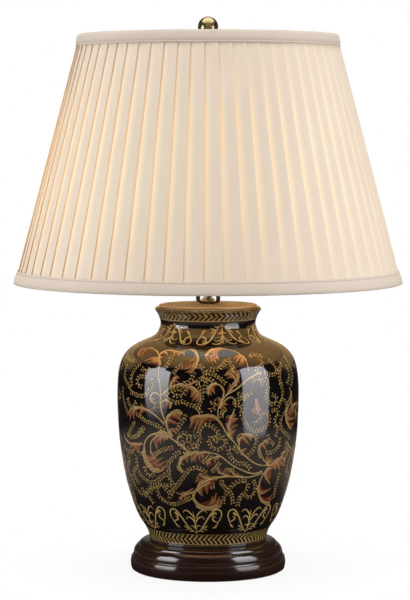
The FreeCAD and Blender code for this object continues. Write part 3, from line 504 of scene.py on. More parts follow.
def arc(start, end, radius, side, count=8):
    """Points of the short arc from start to end; side 1 keeps its centre on the left of the way there."""
    start, end = np.array(start, float), np.array(end, float)
    chord = end - start
    reach = math.sqrt(max(radius * radius - chord @ chord / 4, 0.0))
    left = np.array((-chord[1], chord[0])) / np.linalg.norm(chord)
    centre = (start + end) / 2 + left * side * reach
    first = math.atan2(*(start - centre)[::-1])
    sweep = (math.atan2(*(end - centre)[::-1]) - first + math.pi) % (2 * math.pi) - math.pi
    turns = [first + sweep * k / count for k in range(1, count + 1)]
    return [(centre[0] + radius * math.cos(t), centre[1] + radius * math.sin(t)) for t in turns]


def outline(*steps):
    """Opens out the steps of an outline: a corner (x, y), or an arc to a corner (x, y, radius, side)."""
    points = [steps[0]]
    for step in steps[1:]:
        points += arc(points[-1], step[:2], *step[2:]) if len(step) == 4 else [step]
    return points


def smoothed(piece, angle):
    """Shades a piece smooth but for the edges sharper than an angle in degrees."""
    start_clean()
    piece.select_set(True)
    bpy.context.view_layer.objects.active = piece
    bpy.ops.object.shade_smooth_by_angle(angle=math.radians(angle))
    return piece


def lathe(points, turns, smooth=35):
    """Turns an outline of (radius, height) in millimetres once round the lamp's axis."""
    start_clean()
    bpy.ops.mesh.primitive_plane_add(size=MM)
    bpy.ops.object.mode_set(mode="EDIT")
    bpy.ops.mesh.merge(type="CENTER")
    place = np.array([(r * MM, 0.0, z * MM) for r, z in points])
    bpy.ops.transform.translate(value=place[0])
    for step in place[1:] - place[:-1]:
        bpy.ops.mesh.extrude_region_move(TRANSFORM_OT_translate={"value": step})
    bpy.ops.mesh.select_all(action="SELECT")
    bpy.ops.mesh.spin(steps=turns, angle=2 * math.pi, center=(0, 0, 0), axis=(0, 0, 1))
    bpy.ops.mesh.select_all(action="SELECT")
    bpy.ops.mesh.remove_doubles(threshold=1e-6)
    bpy.ops.mesh.normals_make_consistent(inside=False)
    bpy.ops.object.mode_set(mode="OBJECT")
    return smoothed(current(), smooth)


def eased(piece, width):
    """Rounds a piece's sharp edges with a bevel and applies it."""
    bevel = piece.modifiers.new("Bevel", "BEVEL")
    bevel.width = width
    bevel.segments = 2
    bevel.limit_method = "ANGLE"
    bevel.angle_limit = math.radians(30)
    bevel.harden_normals = True
    bpy.context.view_layer.objects.active = piece
    bpy.ops.object.modifier_apply(modifier=bevel.name)
    return piece


# Wooden base


HOLE, RECESS, RECESS_TOP = 5.4, 32.0, 15.5
WOOD_FOOT, WOOD_TOP = 1.5, 33.5


def wooden_base():
    """A hollow foot, a quirk, a broad roll and a cove under the jar."""
    steps = outline(
        (HOLE, RECESS_TOP),
        (RECESS, RECESS_TOP),
        (RECESS, WOOD_FOOT),
        (85.8, WOOD_FOOT),
        (85.8, 15.7, 22.0, 1),
        (84.4, 15.7),
        (83.6, 17.0),
        (79.0, 28.7, 13.0, 1),
        (77.8, 28.7),
        (73.0, WOOD_TOP, 6.0, 1),
        (HOLE, WOOD_TOP),
        (HOLE, RECESS_TOP),
    )
    return finish_piece(eased(lathe(steps, 128), 0.0005), "turned_base", "mahogany", "lamp", "wooden_base")


wooden_base()


# Jar


# The jar's heights, with the neck's measured from the foot, and its radii, with how far the belly stands out
# past the foot and past the neck
JAR_BOTTOM, JAR_NECK, JAR_TOP = 34.5, 241.0, 295.6
FOOT, FOOT_HOLLOW, NECK, MOUTH = 65.4, 57.4, 53.2, 45.5
PAST_FOOT, PAST_NECK = 36.2, 48.4

# The outline as (share of the neck's height, share of the belly's standing out)
LOWER_SHARES = (
    (0.022, 0.018),
    (0.052, 0.090),
    (0.094, 0.272),
    (0.155, 0.462),
    (0.262, 0.688),
    (0.372, 0.838),
    (0.485, 0.942),
    (0.650, 1.000),
)
UPPER_SHARES = (
    (0.778, 0.976),
    (0.838, 0.900),
    (0.876, 0.778),
    (0.905, 0.600),
    (0.932, 0.318),
    (0.960, 0.086),
    (1.000, 0.000),
)


def smooth_through(points, count):
    """A curve with steady bending through all the points, as count points."""
    p = np.array(points, float)
    at = np.concatenate([[0.0], np.cumsum(np.linalg.norm(np.diff(p, axis=0), axis=1))])
    h = np.diff(at)
    n = len(p)
    system, right = np.eye(n), np.zeros((n, p.shape[1]))
    for i in range(1, n - 1):
        system[i, i - 1 : i + 2] = h[i - 1], 2 * (h[i - 1] + h[i]), h[i]
        right[i] = 6 * ((p[i + 1] - p[i]) / h[i] - (p[i] - p[i - 1]) / h[i - 1])
    bend = np.linalg.solve(system, right)
    t = np.linspace(0.0, at[-1], count)
    k = np.clip(np.searchsorted(at, t, side="right") - 1, 0, n - 2)
    a, b, width = (at[k + 1] - t)[:, None], (t - at[k])[:, None], h[k][:, None]
    curve = (bend[k] * a**3 + bend[k + 1] * b**3) / (6 * width)
    curve = curve + (p[k] / width - bend[k] * width / 6) * a
    return curve + (p[k + 1] / width - bend[k + 1] * width / 6) * b


def jar_side():
    """The jar's outer line from foot to neck."""
    low = [(FOOT + s * PAST_FOOT, JAR_BOTTOM + t * JAR_NECK) for t, s in LOWER_SHARES]
    high = [(NECK + s * PAST_NECK, JAR_BOTTOM + t * JAR_NECK) for t, s in UPPER_SHARES]
    return smooth_through(low + high, 130)


SIDE = jar_side()
RIM = outline(tuple(SIDE[-1]), (59.6, 292.2, 24.0, -1), (56.0, JAR_TOP, 4.2, 1))[1:]
OUTSIDE = np.array([(FOOT, JAR_BOTTOM), *SIDE, *RIM])


def jar():
    """The thrown jar, with its wall, its floor and the hollow under its foot."""
    wall, floor_low, floor_high, hole = 5.5, 37.5, 43.0, 6.6
    wall_low, mouth_low = 52, 286.7
    inner = [(r - wall, z) for r, z in SIDE[::-4] if z > wall_low]
    steps = [*OUTSIDE, (MOUTH, JAR_TOP), (MOUTH, mouth_low), *inner, (FOOT_HOLLOW, floor_high)]
    steps += [(hole, floor_high), (hole, floor_low), (FOOT_HOLLOW, floor_low)]
    steps += [(FOOT_HOLLOW, JAR_BOTTOM), (FOOT, JAR_BOTTOM)]
    return finish_piece(lathe(steps, 160), "glazed_jar", "black_glaze", "lamp", "jar")


jar()


def cap():
    """A spun disc with a rolled edge and a spigot into the jar's mouth."""
    inside, spigot_low = 43.6, 289.6
    steps = outline(
        (inside, spigot_low),
        (45.0, spigot_low),
        (45.0, JAR_TOP),
        (53.9, JAR_TOP),
        (54.8, 297.0, 1.4, 1),
        (53.6, 298.15, 1.4, 1),
        (40.0, 298.45),
        (26.0, 298.8),
        (13.0, 299.0),
        (HOLE, 299.0),
        (HOLE, 297.6),
        (13.0, 297.6),
        (inside, 297.07),
        (inside, spigot_low),
    )
    return finish_piece(lathe(steps, 128), "spun_cap", "antique_brass", "lamp", "jar_cap")


cap()


def finial():
    """A domed nut with a moulded collar."""
    base = 594.5
    steps = outline(
        (3.4, base),
        (6.7, base),
        (7.0, base + 0.3),
        (7.0, base + 1.5),
        (6.7, base + 1.8),
        (5.4, base + 4.4, 3.6, -1),
        (10.8, base + 7.3, 8.0, -1),
        (11.3, base + 7.9, 0.6, 1),
        (11.3, base + 11.9),
        (0.0, base + 23.2, 11.3, 1),
        (0.0, base + 10.0),
        (3.4, base + 10.0),
        (3.4, base),
    )
    return finish_piece(lathe(steps, 64), "domed_finial", "brass", "finial", "finial")


finial()


def visible_tube():
    """The clamping tube with its thread, a groove every millimetre where it stands bare."""
    bore, outer, groove, low, high, pitch = 3.6, 5.0, 4.55, 4.5, 339.6, 1.0
    z, last = 304.8, 331.0
    steps = [(bore, low), (outer, low), (outer, z - 0.2)]
    while z < last:
        steps += [(outer, z + 0.15), (groove, z + 0.5), (outer, z + 0.85)]
        z += pitch
    steps += [(outer, last + 0.4), (outer, high), (bore, high), (bore, low)]
    return finish_piece(lathe(steps, 40), "threaded_rod", "nickel", "lamp", "threaded_tube")


visible_tube()


def bulb():
    """The envelope with its neck swept into the ball."""
    steps = outline(
        (11.2, 389.0),
        (11.7, 389.6),
        (23.9, 422.0, 60.0, -1),
        (30.0, 440.1, 30.0, 1),
        (0.0, 470.1, 30.0, 1),
        (0.0, 469.3),
        (29.2, 440.1, 29.2, -1),
        (23.3, 422.5, 29.2, -1),
        (10.9, 389.6, 60.8, 1),
        (10.9, 389.0),
        (11.2, 389.0),
    )
    return finish_piece(lathe(steps, 64, 60), "lit_envelope", "bulb_glass", "bulb", "bulb_glass")


bulb()


# Shade


# The cone's edges as heights and radii, and the cloth's lower edge and its height
BOTTOM, TOP = 322.0, 597.7
LOW_RIM, HIGH_RIM = 215.8, 143.0
HEM, CLOTH_TALL = 322.9, 273.9
SLOPE = (LOW_RIM - HIGH_RIM) / (TOP - BOTTOM)


def rim(height):
    """The cone's radius in millimetres at a height."""
    return LOW_RIM - SLOPE * (height - BOTTOM)


def on_ring(radius, angle, height):
    """A point in metres from a radius and a height in millimetres."""
    return (radius * MM * math.cos(angle), radius * MM * math.sin(angle), height * MM)


def skin(name, points, faces, flat=None, **marks):
    """A mesh from rows of points, with a map in metres and one number a point for each mark."""
    mesh = bpy.data.meshes.new(name)
    mesh.from_pydata([tuple(p) for p in points], [], faces)
    for label, numbers in marks.items():
        mark = mesh.attributes.new(label, "FLOAT", "POINT")
        mark.data.foreach_set("value", np.asarray(numbers, np.float32))
    if flat is not None:
        sheet = mesh.uv_layers.new(name="cut")
        spots = np.empty(len(mesh.loops), np.int32)
        mesh.loops.foreach_get("vertex_index", spots)
        sheet.data.foreach_set("uv", np.asarray(flat, np.float32)[spots].ravel())
    mesh.update()
    piece = bpy.data.objects.new(name, mesh)
    bpy.context.scene.collection.objects.link(piece)
    return piece


def strip(rows, columns, closed=False):
    """Faces that join a grid of points, row by row; closed joins the last column to the first."""
    faces = []
    for i in range(rows - 1):
        for j in range(columns if closed else columns - 1):
            k = (j + 1) % columns
            low, high = i * columns, (i + 1) * columns
            faces.append((low + j, low + k, high + k, high + j))
    return faces


# The width of a lap, the depth under the cone at which a face starts and how far it rises from there, the
# depth of the lap's back, and the depths of the lining's two sides
PLEATS, LAP = 63, 13.0
FACE, RISE, BACK = 1.75, 1.45, 2.95
LINING_OUT, LINING_IN = 3.36, 3.94


def pleat_section(height, drift):
    """One level of the cloth: for each pleat the face, its fold edge, the lap under it and the way out.

    Each spot is (turn, depth under the cone, lamplight that comes through there); that lamplight is painted
    on as emission, and the fold edge and the lap under it get some too, which lightens the shade in the
    folds.
    """
    pitch = 2 * math.pi / PLEATS
    radius = rim(height)
    share = min(LAP / (radius * pitch), 0.9)
    spots = []
    for k in range(PLEATS):
        turn, lift = drift[k]
        edge = (k + 1 + turn) * pitch
        start = (k + drift[k - 1][0]) * pitch
        wide = edge - start
        for f in (0.0, 0.08, 0.2, 0.34, 0.50, 0.68, 0.86, 0.97):
            # Painted lamplight, strongest just past the previous fold edge where the cloth lies single
            light = max(0.0, 1.0 - f / 0.50) ** 1.3
            spots.append((start + f * wide, FACE - (RISE - lift) * f, 0.06 + 0.94 * light))
        under = share * pitch
        end = 1.0 - share
        inner = min(FACE - RISE * end + 0.5, 2.5)
        # The fold edge and the lap under it get painted lamplight too, which lightens the shade in the fold
        spots += [
            (edge, 0.55 - lift, 0.15),
            (edge - 0.02 * pitch, 0.95 - lift, 0.5),
            (edge - 0.5 * under, (1.05 + inner) / 2, 0.6),
            (edge - 0.97 * under, inner, 0.6),
            (edge - under, (inner + BACK) / 2, 0.6),
            (edge - 0.97 * under, BACK, 0.6),
            (edge - 0.3 * under, 2.8, 0.8),
            (edge - 0.06 * under, 2.3, 0.9),
        ]
    return radius, spots


def pleated_cover():
    """Knife pleats as one folded sheet, each pleat a little out of true as hand-laid pleats are."""
    chance = random.Random(5)
    rows = 15
    wander = []
    for _ in range(3):
        wander.append([(chance.uniform(-0.05, 0.05), chance.uniform(-0.10, 0.10)) for _ in range(PLEATS)])
    points, flat, glow = [], [], []
    for i in range(rows):
        t = i / (rows - 1)
        height = HEM + t * CLOTH_TALL
        drift = []
        for k in range(PLEATS):
            (low, low_lift), (high, high_lift), (mid, mid_lift) = (w[k] for w in wander)
            bow = 4 * t * (1 - t)
            turn = low * (1 - t) + high * t + mid * 0.8 * bow
            drift.append((turn, low_lift * (1 - t) + high_lift * t + mid_lift * bow * 0.8))
        radius, spots = pleat_section(height, drift)
        along = 0.0
        before = None
        for angle, inset, light in spots:
            here = np.array(on_ring(radius - inset, angle, height))
            along += 0.0 if before is None else float(np.linalg.norm(here - before))
            before = here
            points.append(here)
            flat.append((along, height * MM))
            glow.append(light)
    columns = len(points) // rows
    piece = skin("pleated_silk", points, strip(rows, columns, True), flat, glow=glow)
    finish_piece(smoothed(piece, 70), "pleated_silk", "pleated_cloth", "shade", "shade_pleats")
    return piece


def wrap_end(rows, columns):
    """Faces that join the last row of a grid of points to its first."""
    last = (rows - 1) * columns
    return [(last + j, last + (j + 1) % columns, (j + 1) % columns, j) for j in range(columns)]


def lining():
    """Linen-faced lining, one skin for each of its sides."""
    turns, rows = 180, 12
    points, flat = [], []
    for depth, order in ((LINING_OUT, range(rows)), (LINING_IN, range(rows - 1, -1, -1))):
        for i in order:
            height = HEM + CLOTH_TALL * i / (rows - 1)
            r = rim(height) - depth
            for j in range(turns):
                angle = 2 * math.pi * j / turns
                points.append(on_ring(r, angle, height))
                flat.append((r * MM * angle, height * MM))
    piece = skin("lining", points, strip(2 * rows, turns, True) + wrap_end(2 * rows, turns), flat)
    finish_piece(smoothed(piece, 60), "lining", "shade_lining", "shade", "shade_lining")
    return piece


def tape(name, edge, way, outer, node, lap_at):
    """A folded, stitched tape round an edge of the shade, its end lapped over its start.

    The section is (depth under the cone, way up from the edge); outer is the tape's height outside.
    """
    chance = random.Random(len(name))
    section = [
        (-0.10, outer),
        (-0.55, outer - 0.35),
        (-0.70, outer - 1.3),
        (-0.35, outer - 2.2),
        (-0.85, outer - 3.1),
        (-1.35, outer * 0.55),
        (-1.55, outer * 0.30),
        (-1.35, 1.5),
        (-0.75, 0.35),
        (0.5, 0.02),
        (3.0, 0.02),
        (4.4, 0.3),
        (4.75, 1.2),
        (4.7, 5.0),
        (4.6, 9.0),
    ]
    turns, end_lap, lap_steps, lap_lift = 260, 10.0, 40, 0.4
    over = end_lap / rim(edge)
    swell = [chance.uniform(-0.08, 0.08) for _ in range(turns + 1)]
    points, flat = [], []
    for inset, rise in section:
        height = edge + way * rise
        for j in range(turns + 1):
            t = j / turns
            angle = lap_at + (2 * math.pi + over) * t
            lapped = max(0.0, 1 - (1 - t) * lap_steps) * lap_lift
            r = rim(height) - inset + (lapped + swell[j] * min(1.0, -inset) if inset < 0 else 0.0)
            points.append(on_ring(r, angle, height))
            flat.append((rim(edge) * MM * angle, (outer - rise if inset < 0.2 else outer + inset) * MM))
    faces = strip(len(section), turns + 1)
    piece = skin(name, points, [f[::-1] for f in faces] if way > 0 else faces, flat)
    finish_piece(smoothed(piece, 60), name, "edge_tape", "shade", node)
    2 * math.pi * rim(edge) * MM
    return piece


pleated_cover()
lining()
tape("bottom_tape", BOTTOM, 1, 14.5, "shade_bottom_tape", math.radians(100))
tape("top_tape", TOP, -1, 13.3, "shade_top_tape", math.radians(-64))


# Painting on the jar


class Chart:
    """The jar's outer side as a sheet to paint on: turn round the axis, and length up the side."""

    def __init__(self):
        line = OUTSIDE * MM
        self.r, self.z = line[:, 0], line[:, 1]
        self.up = np.concatenate([[0.0], np.cumsum(np.linalg.norm(np.diff(line, axis=0), axis=1))])
        slope = np.gradient(line, self.up, axis=0)
        self.nr, self.nz = slope[:, 1], -slope[:, 0]

    def radius(self, up):
        return np.interp(up, self.up, self.r)

    def level(self, height):
        """Length up the side at a height in metres."""
        return np.interp(height, self.z, self.up)

    def spot(self, turn, up, lift):
        """Points and normals lift metres above the glaze; turn 0 faces the camera."""
        r, z = np.interp(up, self.up, self.r), np.interp(up, self.up, self.z)
        nr, nz = np.interp(up, self.up, self.nr), np.interp(up, self.up, self.nz)
        size = np.hypot(nr, nz)
        nr, nz = nr / size, nz / size
        r, z = r + nr * lift, z + nz * lift
        sin, cos = np.sin(turn), np.cos(turn)
        return np.stack([r * sin, -r * cos, z], 1), np.stack([nr * sin, -nr * cos, nz], 1)


chart = Chart()

# The view that the painting's points were read in: metres to a pixel at the axis, distance and height of
# the eye in metres, the eye's row and the jar's middle column
PIXEL = 1.122 * MM
FAR, EYE, EYE_LINE, JAR_MIDDLE = 2.543, 0.491, 129.4, 210.0


def on_jar(points):
    """Turns picture points on the lamp's front into (turn, length up the side)."""
    p = np.array(points, float)
    near = np.zeros(len(p))
    for _ in range(12):
        scale = PIXEL * (FAR - near) / FAR
        height = EYE - (p[:, 1] - EYE_LINE) * scale
        up = chart.level(height)
        r = chart.radius(up)
        sin = np.clip((p[:, 0] - JAR_MIDDLE) * scale / r, -0.97, 0.97)
        near = r * np.sqrt(1 - sin * sin)
    return np.stack([np.arcsin(sin), up], 1)


class Brush:
    """Gathers strokes in one colour range and lays them on the glaze as one thin skin.

    Lifts of 0.11 to 0.18 mm over the glaze keep crossing strokes apart, stems and spines on top.
    """

    def __init__(self, name, finish):
        self.name = name
        self.finish = finish
        self.spots, self.tones, self.hairs, self.lifts, self.faces = [], [], [], [], []
        self.count = 0

    def add(self, spots, tones, hairs, faces, lift):
        self.spots.append(spots)
        self.tones.append(tones)
        self.hairs.append(hairs)
        self.lifts.append(np.full(len(spots), lift))
        self.faces += [tuple(i + self.count for i in f) for f in faces]
        self.count += len(spots)

    def ribbon(self, path, widths, tones, lift=0.00014):
        """A stroke of varying width along a path, with tones for its left edge, middle and right edge."""
        path = np.asarray(path, float)
        r = chart.radius(path[:, 1])
        way = np.gradient(path, axis=0)
        east, north = way[:, 0] * r, way[:, 1]
        size = np.maximum(np.hypot(east, north), 1e-9)
        east, north = east / size, north / size
        half = (np.broadcast_to(widths, len(path)) / 2)[:, None]
        side = np.stack([-north / r, east], 1) * half
        n = len(path)
        spots = np.concatenate([path + side, path, path - side])
        shade = np.concatenate([np.broadcast_to(t, n) for t in tones])
        across = np.concatenate([-half[:, 0], np.zeros(n), half[:, 0]])
        faces = []
        for i in range(n - 1):
            faces.append((i, n + i, n + i + 1, i + 1))
            faces.append((n + i, 2 * n + i, 2 * n + i + 1, n + i + 1))
        self.add(spots, shade, across, faces, lift)

    def leaf(self, root, way, length, width, tone, lift=0.00012):
        """A small pointed leaf; root is on the chart and way an angle from the upright."""
        along = np.array([0.0, 0.35, 0.72, 1.0, 0.72, 0.35]) * length
        out = np.array([0.0, 0.5, 0.36, 0.0, -0.36, -0.5]) * width
        east = along * math.sin(way) + out * math.cos(way)
        north = along * math.cos(way) - out * math.sin(way)
        r = float(chart.radius(root[1]))
        spots = np.stack([root[0] + east / r, root[1] + north], 1)
        tones = tone + np.array([0.55, 0.22, 0.04, -0.05, 0.04, 0.22])
        self.add(spots, tones, np.zeros(6), [(0, 1, 2, 3, 4, 5)], lift)

    def slant(self, start, end, low, high, width, tones, lift=0.00012):
        """A stroke with level ends between two heights on the chart, swung a little as a brush swings."""
        n, swing = 4, 0.10
        t = np.linspace(0.0, 1.0, n)
        middle = start + (end - start) * (t + swing * np.sin(math.pi * t))
        level = low + (high - low) * t
        spots = np.concatenate([np.stack([middle + width * s, level], 1) for s in (-0.5, 0.0, 0.5)])
        shade = np.repeat(tones, n)
        faces = []
        for i in range(n - 1):
            for row in (i, n + i):
                face = (row, row + n, row + n + 1, row + 1)
                faces.append(face if high > low else face[::-1])
        self.add(spots, shade, np.zeros(3 * n), faces, lift)

    def lay(self):
        """Makes the strokes a mesh whose shading follows the glaze under it."""
        spots = np.concatenate(self.spots)
        points, normals = chart.spot(spots[:, 0], spots[:, 1], np.concatenate(self.lifts))
        tones = np.clip(np.concatenate(self.tones), 0.0, 1.0)
        piece = skin(self.name, points, self.faces, tone=tones, hair=np.concatenate(self.hairs))
        piece.data.polygons.foreach_set("use_smooth", [True] * len(self.faces))
        piece.data.normals_split_custom_set_from_vertices([tuple(n) for n in normals])
        return finish_piece(piece, self.name, self.finish, "lamp")


def curve(points, step=0.0022):
    """A smooth line on the chart through points on the chart, with a point about every step metres."""
    p = np.asarray(points, float)
    if len(p) < 3:
        middle = (p[0] + p[1]) / 2
        p = np.array([p[0], middle, p[1]])
    r = chart.radius(p[:, 1])
    long = np.hypot(np.diff(p[:, 0]) * (r[1:] + r[:-1]) / 2, np.diff(p[:, 1])).sum()
    to_length = np.array((0.09, 1.0))
    return smooth_through(p * to_length, max(5, int(long / step) + 1)) / to_length


# The stretches of painting: the turn of each, and the angles in degrees between which it repeats strokes
THIRD = 2 * math.pi / 3
STRETCHES = ((0.0, -80, 80), (THIRD, -44, 60), (-THIRD, -60, 44))


def places(path):
    """The turns at which a stroke is repeated, so that the three stretches meet without crossing."""
    middle = math.degrees(path[:, 0].mean())
    return [turn for turn, first, last in STRETCHES if first <= middle <= last]


scrolls = Brush("painted_scrolls", "gold_enamel")
garlands = Brush("painted_garlands", "straw_enamel")
borders = Brush("painted_borders", "straw_enamel")
bands = Brush("painted_bands", "straw_enamel")
chance = random.Random(11)


def stem(points, start, end):
    """A painted stem through picture points, start and end metres wide, at each of its three places."""
    path = curve(on_jar(points))
    t = np.linspace(0.0, 1.0, len(path))
    wide = start + (end - start) * t
    for turn in places(path):
        scrolls.ribbon(path + [turn, 0.0], wide, (0.0, 0.16, 0.45), 0.00016)


def finger(root, way, tip, width, tones, lift, turns, hair):
    """One lobe that leaves its leaf along way and flows to its tip, palest on its outer edge."""
    scale = np.array([float(chart.radius(root[1])), 1.0])
    first, last = root * scale, tip * scale
    reach = np.linalg.norm(last - first)
    knee = first + way * reach * 0.62
    n = 8
    t = np.linspace(0.0, 1.0, n)
    u = t[:, None]
    path = ((1 - u) ** 2 * first + 2 * u * (1 - u) * knee + u * u * last) / scale
    swell = width * ((0.6 + 1.9 * t) * (1 - t) ** 0.85 + 0.05)
    leftwards = way[0] * (last - first)[1] - way[1] * (last - first)[0] > 0
    pale, deep = tones
    outer, middle, inner = pale + 0.16 * t, pale + (deep - pale) * (0.46 + 0.26 * t), np.full(n, deep)
    shade = (inner, middle, outer) if leftwards else (outer, middle, inner)
    line, thin, tone = path[:-1], swell[:-1] * 0.15, 0.16 + 0.3 * t[:-1]
    for turn in turns:
        scrolls.ribbon(path + [turn, 0.0], swell, shade, lift)
        if hair:
            scrolls.ribbon(line + [turn, 0.0], thin, (tone,) * 3, lift + 0.000006)


def frond(spine, tips, width):
    """A leaf: its spine, and lobes that leave the spine and flow to picture points."""
    line = curve(on_jar(spine), 0.0008)
    scale = np.array([float(chart.radius(line[:, 1]).mean()), 1.0])
    flat = line * scale
    way = np.gradient(flat, axis=0)
    way = way / np.linalg.norm(way, axis=1)[:, None]
    long = np.concatenate([[0.0], np.cumsum(np.linalg.norm(np.diff(flat, axis=0), axis=1))])
    for k, tip in enumerate(on_jar(tips)):
        gap = np.linalg.norm(flat - tip * scale, axis=1)
        near = int(gap.argmin())
        root = max(int(np.searchsorted(long, long[near] - gap[near] * 1.6)) - 1, 0)
        tones = [t + chance.uniform(-0.07, 0.07) for t in (0.05, 0.88)]
        wide = width * chance.uniform(1.05, 1.35)
        lift = 0.00011 + 0.00001 * (k % 5)
        finger(line[root], way[root], tip, wide, tones, lift, places(line), k % 3 == 1)
    t = np.linspace(0.0, 1.0, len(line))
    wide = 0.0015 * (np.sin(np.pi * (0.12 + 0.80 * t) ** 0.9) + 0.15)
    bend = (way[:-1, 0] * way[1:, 1] - way[:-1, 1] * way[1:, 0]).sum()
    shade = (0.55, 0.22, 0.0) if bend > 0 else (0.0, 0.22, 0.55)
    for turn in places(line):
        scrolls.ribbon(line + [turn, 0.0], wide, shade, 0.00018)


def garland(points):
    """Pairs of small leaves along a fine stem through picture points."""
    path = curve(on_jar(points), 0.0033)
    turns = places(path)
    for turn in turns:
        garlands.ribbon(path + [turn, 0.0], 0.0004, (0.6, 0.45, 0.7), 0.00012)
    r = chart.radius(path[:, 1])
    way = np.gradient(path, axis=0)
    heading = np.arctan2(way[:, 0] * r, way[:, 1])
    stalk = 0.0005
    for k, (spot, angle) in enumerate(zip(path, heading)):
        for side in (-1, 1):
            lean = angle + side * chance.uniform(0.55, 0.80)
            long, tone = chance.uniform(0.0030, 0.0038), chance.uniform(0.0, 0.25)
            root = spot + np.array((math.sin(lean) / r[k], math.cos(lean))) * stalk
            for turn in turns:
                garlands.leaf(root + [turn, 0.0], lean, long, 0.00135, tone)


# Stems as (points, width at the start, width at the end), in picture points and metres
STEMS = (
    ([(161.4, 352.3), (161.1, 364.9), (160.4, 374.8), (161.7, 382), (162.4, 394.7), (162, 400),
      (163, 408), (166.4, 418), (171, 430), (174.3, 435)], 0.0010, 0.0022),
    ([(192.9, 451.2), (182.9, 443.3), (173, 436), (166.4, 432), (158.4, 431.3), (151.1, 434),
      (147.1, 439.3), (146.1, 446.6), (147.8, 455.2), (151.1, 462.5), (155.7, 467.1), (161, 467.8)],
      0.0016, 0.0026),
    ([(162.5, 394), (165.7, 390.8), (169.7, 387.4), (174.3, 384.8), (181, 383.5), (187.6, 384.1),
      (193.6, 386.8)], 0.0012, 0.0020),
    ([(166.4, 421.3), (154.4, 410.7), (147.8, 406.7), (143.8, 404.7)], 0.0010, 0.0016),
    ([(163.7, 401.4), (166.4, 398), (170.3, 398.7), (172.7, 402), (171.3, 406)], 0.0012, 0.0018),
    ([(171, 430), (169, 421.3), (169.3, 415.3), (173, 412), (178.3, 410.7), (183.6, 412)],
      0.0010, 0.0022),
    ([(186.3, 349), (194.2, 346.3), (198.9, 351.6), (198.2, 358.3), (194.2, 363.6)], 0.0012, 0.0020),
    ([(208, 353.6), (212, 349), (217.9, 346.7), (227.9, 346.7), (236.5, 349), (243.8, 353.6),
      (248.5, 360.3), (250.1, 368.9)], 0.0024, 0.0010),
    ([(263, 369.5), (254.4, 373.5), (247.8, 378.2), (241.2, 384.1), (234.5, 388.8), (227.9, 392.8),
      (224.6, 397.4), (221.3, 403.4), (219.6, 408.7), (219.9, 415.3)], 0.0024, 0.0012),
    ([(238, 384), (237.2, 376.8), (234.5, 372.9), (230.6, 370.2), (227.2, 372.2)], 0.0020, 0.0012),
    ([(210.7, 392.1), (211.3, 386.1), (215.3, 382.1), (221.3, 382.8), (224.6, 387.4)], 0.0014, 0.0020),
    ([(208, 414), (214.6, 415.3), (219.9, 418.6), (223.9, 423.9), (227.9, 430.6), (230.6, 435),
      (234.5, 438.6), (239.8, 445.9), (245.2, 452.6), (253.1, 459.2), (261.1, 463.2), (271, 463.2)],
      0.0016, 0.0014),
    ([(231.2, 435), (231.2, 424.6), (232.5, 418), (236.5, 406.7)], 0.0018, 0.0010),
    ([(208, 451), (217, 452), (225.2, 456.5), (234.5, 463.8), (242.5, 467.8), (250.4, 471.1),
      (257.7, 471.8), (264.4, 469.1)], 0.0012, 0.0018),
    ([(208, 479.7), (217.9, 476.4), (227.9, 475.1), (237.8, 475.1), (247.8, 475.8), (257.7, 473.8),
      (265, 471.1)], 0.0024, 0.0014),
    ([(267.7, 469.8), (263, 476.4), (260.4, 486.4), (261.1, 494.3), (265, 499.6), (271.7, 501.6)],
      0.0014, 0.0024),
    ([(262.4, 456.5), (260.2, 449), (261.7, 442.6), (265.7, 440.6)], 0.0012, 0.0012),
    ([(212, 449.9), (200.9, 450.2), (192.9, 451.9), (186.3, 455.2), (181.6, 459.8), (181.6, 465.8),
      (184.3, 471.1)], 0.0012, 0.0022),
    ([(212, 480.4), (204.2, 484.4), (197.5, 489.7), (195.5, 496.3), (199.5, 502.3), (206.2, 505.6),
      (212, 506.3), (219.5, 504)], 0.0014, 0.0030),
    ([(144.5, 442), (138, 441), (129.2, 438.6), (126.6, 433.3)], 0.0012, 0.0014),
    ([(241.2, 441.9), (239.5, 437.3), (240.5, 433.3), (245, 431.7), (251.1, 432.7)], 0.0016, 0.0010),
    ([(290.9, 384.8), (293.5, 396.7), (289.6, 404.7), (288.2, 414.6), (289.6, 422.6)], 0.0012, 0.0020),
    ([(177.5, 491), (183.3, 492.5), (189.6, 490), (195, 487)], 0.0008, 0.0012),
)

